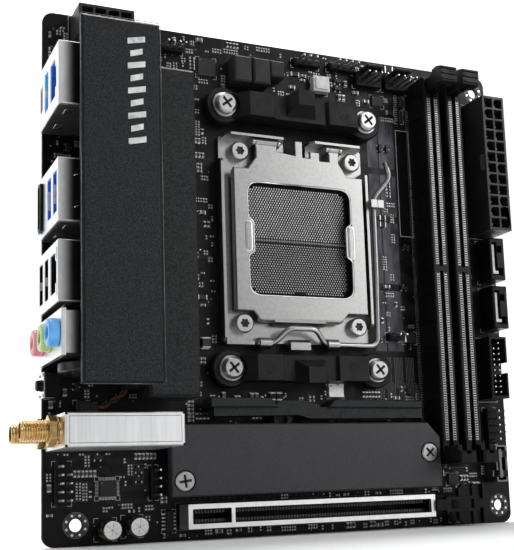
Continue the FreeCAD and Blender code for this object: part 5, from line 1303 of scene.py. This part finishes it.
def make_solder_side():
    """Solder cones and dots at the through pins, and plated rings at the tall heatsink's screws."""
    shape = Shape()
    for node in ("power_header_pins", "header_pins"):
        for x0, x1, y0, y1, z0, z1 in solids_of(node):
            if z0 < -BOARD_T - 0.1:
                solder_cone(shape, (x0 + x1) / 2, (y0 + y1) / 2, 1.15 if node == "power_header_pins" else 0.75, 0)
    slot = measures("expansion_slot")
    mid = (slot[2] + slot[3]) / 2
    for i in range(81):
        x = slot[0] + 3.4 + i
        for k, dy in enumerate((-3.0, -1.0, 1.0, 3.0)):
            if (i + k) % 2 == 0:
                dot(shape, x, mid + dy, 0.42, BACK, 0, 0.3)
    for node in ("usb_port_shell_upper", "usb_port_shell_middle", "lan_port_shell", "audio_jack_body"):
        x0, x1, y0, y1, z0, z1 = measures(node)
        for i in range(5):
            for k in range(3):
                dot(shape, x0 + 8.5 + k * 2.4, y0 + 2.2 + i * (y1 - y0 - 4.4) / 4, 0.55, BACK, 0, 0.45, 12)
        for x in (x0 + 2.5, x1 - 3.0):
            for y in (y0 + 0.3, y1 - 0.3):
                dot(shape, x, y, 1.0, BACK, 0, 0.35, 14)
    for x, y in HEATSINK_SCREWS:
        shape.lathe([(0.03, 4.3), (-0.03, 4.3), (-0.03, 3.0), (0.03, 3.0)], (x, y, -BOARD_T), "z", 0, 40,
                    capped=False)
    for node in ("memory_slot_1", "memory_slot_2"):
        x0, x1, y0, y1, z0, z1 = measures(node)
        for i in range(72):
            for k, dx in enumerate((-2.2, 0.0, 2.2)):
                dot(shape, (x0 + x1) / 2 + dx, y0 + 10 + i * 1.7 + 0.55 * k, 0.24, BACK, 0)
    shape.build("solder_joints", "tin", "tin_plate")


TRACE_RUNS = (
    # start, step from bundle to bundle, bundles, legs, traces in each, and what else bundle() takes
    ((112.5, 66), (0, 9.6), 9, [(5, 0), (3.5, 3.5), (9, 0), (2.4, -2.4), (3.5, 0)], 12, {}),
    ((44.6, 58), (0, 16.0), 6, [(4, 0), (3, 3), (4.5, 0)], 8, {}),
    ((62, 150.2), (10.5, 0), 7, [(0, 4), (2.5, 2.5), (0, 8), (-2, 2), (0, 3)], 7, {}),
    ((64, 36.5), (12.0, 0), 5, [(0, 3.5), (2.5, 2.5), (0, 5)], 9, {}),
    ((38, 1.6), (0, 0), 1, [(50, 0), (1.0, 1.0), (40, 0)], 4, {}),
    ((2.5, 12.5), (0, 4.1), 4, [(6, 0), (2, 2), (9, 0), (1.5, -1.5), (12, 0)], 5, {}),
    ((152, 24), (2.0, 3), 4, [(0, 40), (1.6, 1.6), (0, 50)], 4, dict(pitch=0.34)),
    ((112.0, 38.5), (4.6, 0), 5, [(0, 3), (1.4, 1.4), (0, 6), (-1.4, 1.4), (0, 9.5)], 6,
     dict(kind=2, pitch=0.6, width=0.2)),
    ((122.5, 20), (0, 9.0), 16, [(6, 0), (3, 3), (22, 0), (2, -2), (8, 0)], 8, dict(side=BACK)),
    ((24, 12.0), (13.0, 0), 9, [(0, 10), (4, 4), (0, 14), (-3, 3), (0, 3)], 9, dict(side=BACK)),
    ((6, 56), (0, 11.0), 8, [(14, 0), (4, 4), (12, 0), (3, -3), (8, 0)], 7, dict(side=BACK)),
    ((50, 153.0), (13.0, 0), 7, [(0, 4), (3, 3), (0, 7)], 8, dict(side=BACK)),
)


def make_traces():
    """Etched lines and plated holes on both faces, and the bare relief beside the socket."""
    rng = random.Random(21)
    shape = Shape()
    trace, tin = 0, 1
    for (x, y), (dx, dy), bundles, legs, count, more in TRACE_RUNS:
        for i in range(bundles):
            bundle(shape, (x + i * dx, y + i * dy), legs, count, **more)
    holes = [(x0, x1, y0, y1) for x0, x1, y0, y1, _ in FRONT_REGIONS]
    for side, spots in ((FRONT, 620), (BACK, 520)):
        for _ in range(spots):
            if side == FRONT:
                x0, x1, y0, y1 = rng.choice(holes)
                x, y = rng.uniform(x0, x1), rng.uniform(y0, y1)
            else:
                x, y = rng.uniform(3, 168), rng.uniform(3, 168)
            if any(math.hypot(x - hx, y - hy) < 5 for hx, hy in MOUNT_HOLES):
                continue
            dot(shape, x, y, rng.choice((0.16, 0.2, 0.26)), side, tin if rng.random() < 0.35 else trace, 0.012, 8)
    shape.build("traces", "trace tin print_dim", "board_laminate")
    relief = Shape()
    for y0, y1 in ((62, 84), (86.5, 109), (111.5, 127), (129.5, 149)):
        for x0, x1 in ((117.2, 121.4), (122.0, 128.4)):
            relief.patch(x0, x1, y0, y1, 0.022, 0)
    relief.build("bare_relief", "pour", "board_laminate")


def make_print():
    """Plain printed outlines, corner marks and ticks; nothing is written."""
    shape = Shape()
    white, dim, tin, bright, dark, ring = range(6)
    x0, x1, y0, y1 = LABEL
    shape.patch(x0 + 0.2, x1 - 0.2, y0 + 0.2, y1 - 0.2, 0.02, dark)
    printed_box(shape, x0, x1, y0, y1, white, 0.22)
    for node, margin in (("memory_slot_1", 1.1), ("memory_slot_2", 1.1), ("expansion_slot", 1.0),
                         ("main_power_header", 0.6), ("cpu_power_header", 0.6), ("front_usb_header", 0.6)):
        x0, x1, y0, y1, z0, z1 = measures(node)
        x1 = min(x1 + margin, BOARD_SIDE - 0.4)
        y1 = min(y1 + margin, BOARD_SIDE - 0.4)
        printed_box(shape, x0 - margin, x1, y0 - margin, y1, dim if "slot" in node else white)
    for node in ("fan_headers", "pin_header_bases", "sata_ports", "controller_chips", "capacitors", "battery_plug"):
        for x0, x1, y0, y1, z0, z1 in solids_of(node):
            if z0 > 1.2 or x1 - x0 < 0.8 or y0 < 0.8:
                continue
            m = 0.45
            x0, y0, x1, y1 = x0 - m, y0 - m, min(x1 + m, BOARD_SIDE - 0.3), min(y1 + m, BOARD_SIDE - 0.3)
            arm = min(1.4, 0.35 * (x1 - x0), 0.35 * (y1 - y0))
            for cx, sx in ((x0, 1), (x1, -1)):
                for cy, sy in ((y0, 1), (y1, -1)):
                    ribbon(shape, [(cx + sx * arm, cy), (cx, cy), (cx, cy + sy * arm)], 0.16, FRONT, white, 0.03)
    for i in range(46):
        ribbon(shape, [(136.6, 30 + i * 2.6), (137.1, 30 + i * 2.6)], 0.2, FRONT, dim, 0.03)
        ribbon(shape, [(46 + i * 2.0, 12.6), (46 + i * 2.0, 13.0)], 0.2, FRONT, dim, 0.03)
    for x, y in MOUNT_HOLES:
        for side in (FRONT, BACK):
            z = face_z(side, 0.0)
            for inner, outer, kind in ((2.15, 3.8, ring if side == FRONT else tin), (3.8, 3.95, dim)):
                shape.lathe([(-0.02 * side, inner), (0.025 * side, inner), (0.025 * side, outer),
                             (-0.02 * side, outer)], (x, y, z), "z", kind, 48, capped=False)
            for c, s in circle(8, 0.5):
                dot(shape, x + 3.1 * c, y + 3.1 * s, 0.42, side, bright, 0.06, 12)
    shape.build("board_print", "print print_dim tin bright mask ring", "board_laminate")


def make_cap_mark():
    """A plain run of slanted bars on the tall heatsink, where its maker would print a name, and lighter rods along
    its cap's edges that are a painted highlight.
    """
    shape = Shape()
    x0, _, y0, y1, _, top = measures("vrm_heatsink")
    mid = x0 + 16.7
    for i in range(9):
        y = y0 + 72.9 + i * 3.9
        reach = 1.9 if i % 2 else 2.7
        shape.raised([(mid - reach, y), (mid + reach, y + 1.2), (mid + reach, y + 3.0), (mid - reach, y + 1.8)],
                     top - 0.05, top + 0.02, 0)
    x1, y0 = x0 + 24.2, y0 + 2.4            # where the tall block ends
    # lighter metal rods along the cap's edges: painted highlight
    for x in (x0, x1):
        shape.rod([(x, y0 + 0.5, top - 0.16), (x, y1 - 0.5, top - 0.16)], 0.16, 1, 6)
    for y in (y0, y1):
        shape.rod([(x0 + 0.5, y, top - 0.16), (x1 - 0.5, y, top - 0.16)], 0.12, 1, 6)
    shape.build("heatsink_mark", "can_top worn_edge", "black_anodised")


make_camera()
make_lights()
make_stage()
finish_nodes()
for make_piece in (make_contact_field, make_plate_edges, make_lever_wire, make_lever_catch, make_screw_recesses,
                   make_slot_springs, make_slot_tails, make_port_insides, make_modular_jacks, make_port_details,
                   make_audio_sleeves, make_rear_button, make_antenna_jacks, make_antenna_washers, make_can_lid,
                   make_battery_lead, make_chips, make_capacitors, make_data_port_tongues, make_pin_tips,
                   make_bracket_marks, make_small_parts, make_solder_side, make_traces, make_print, make_cap_mark):
    make_piece()

bpy.context.scene.view_settings.view_transform = "Standard"
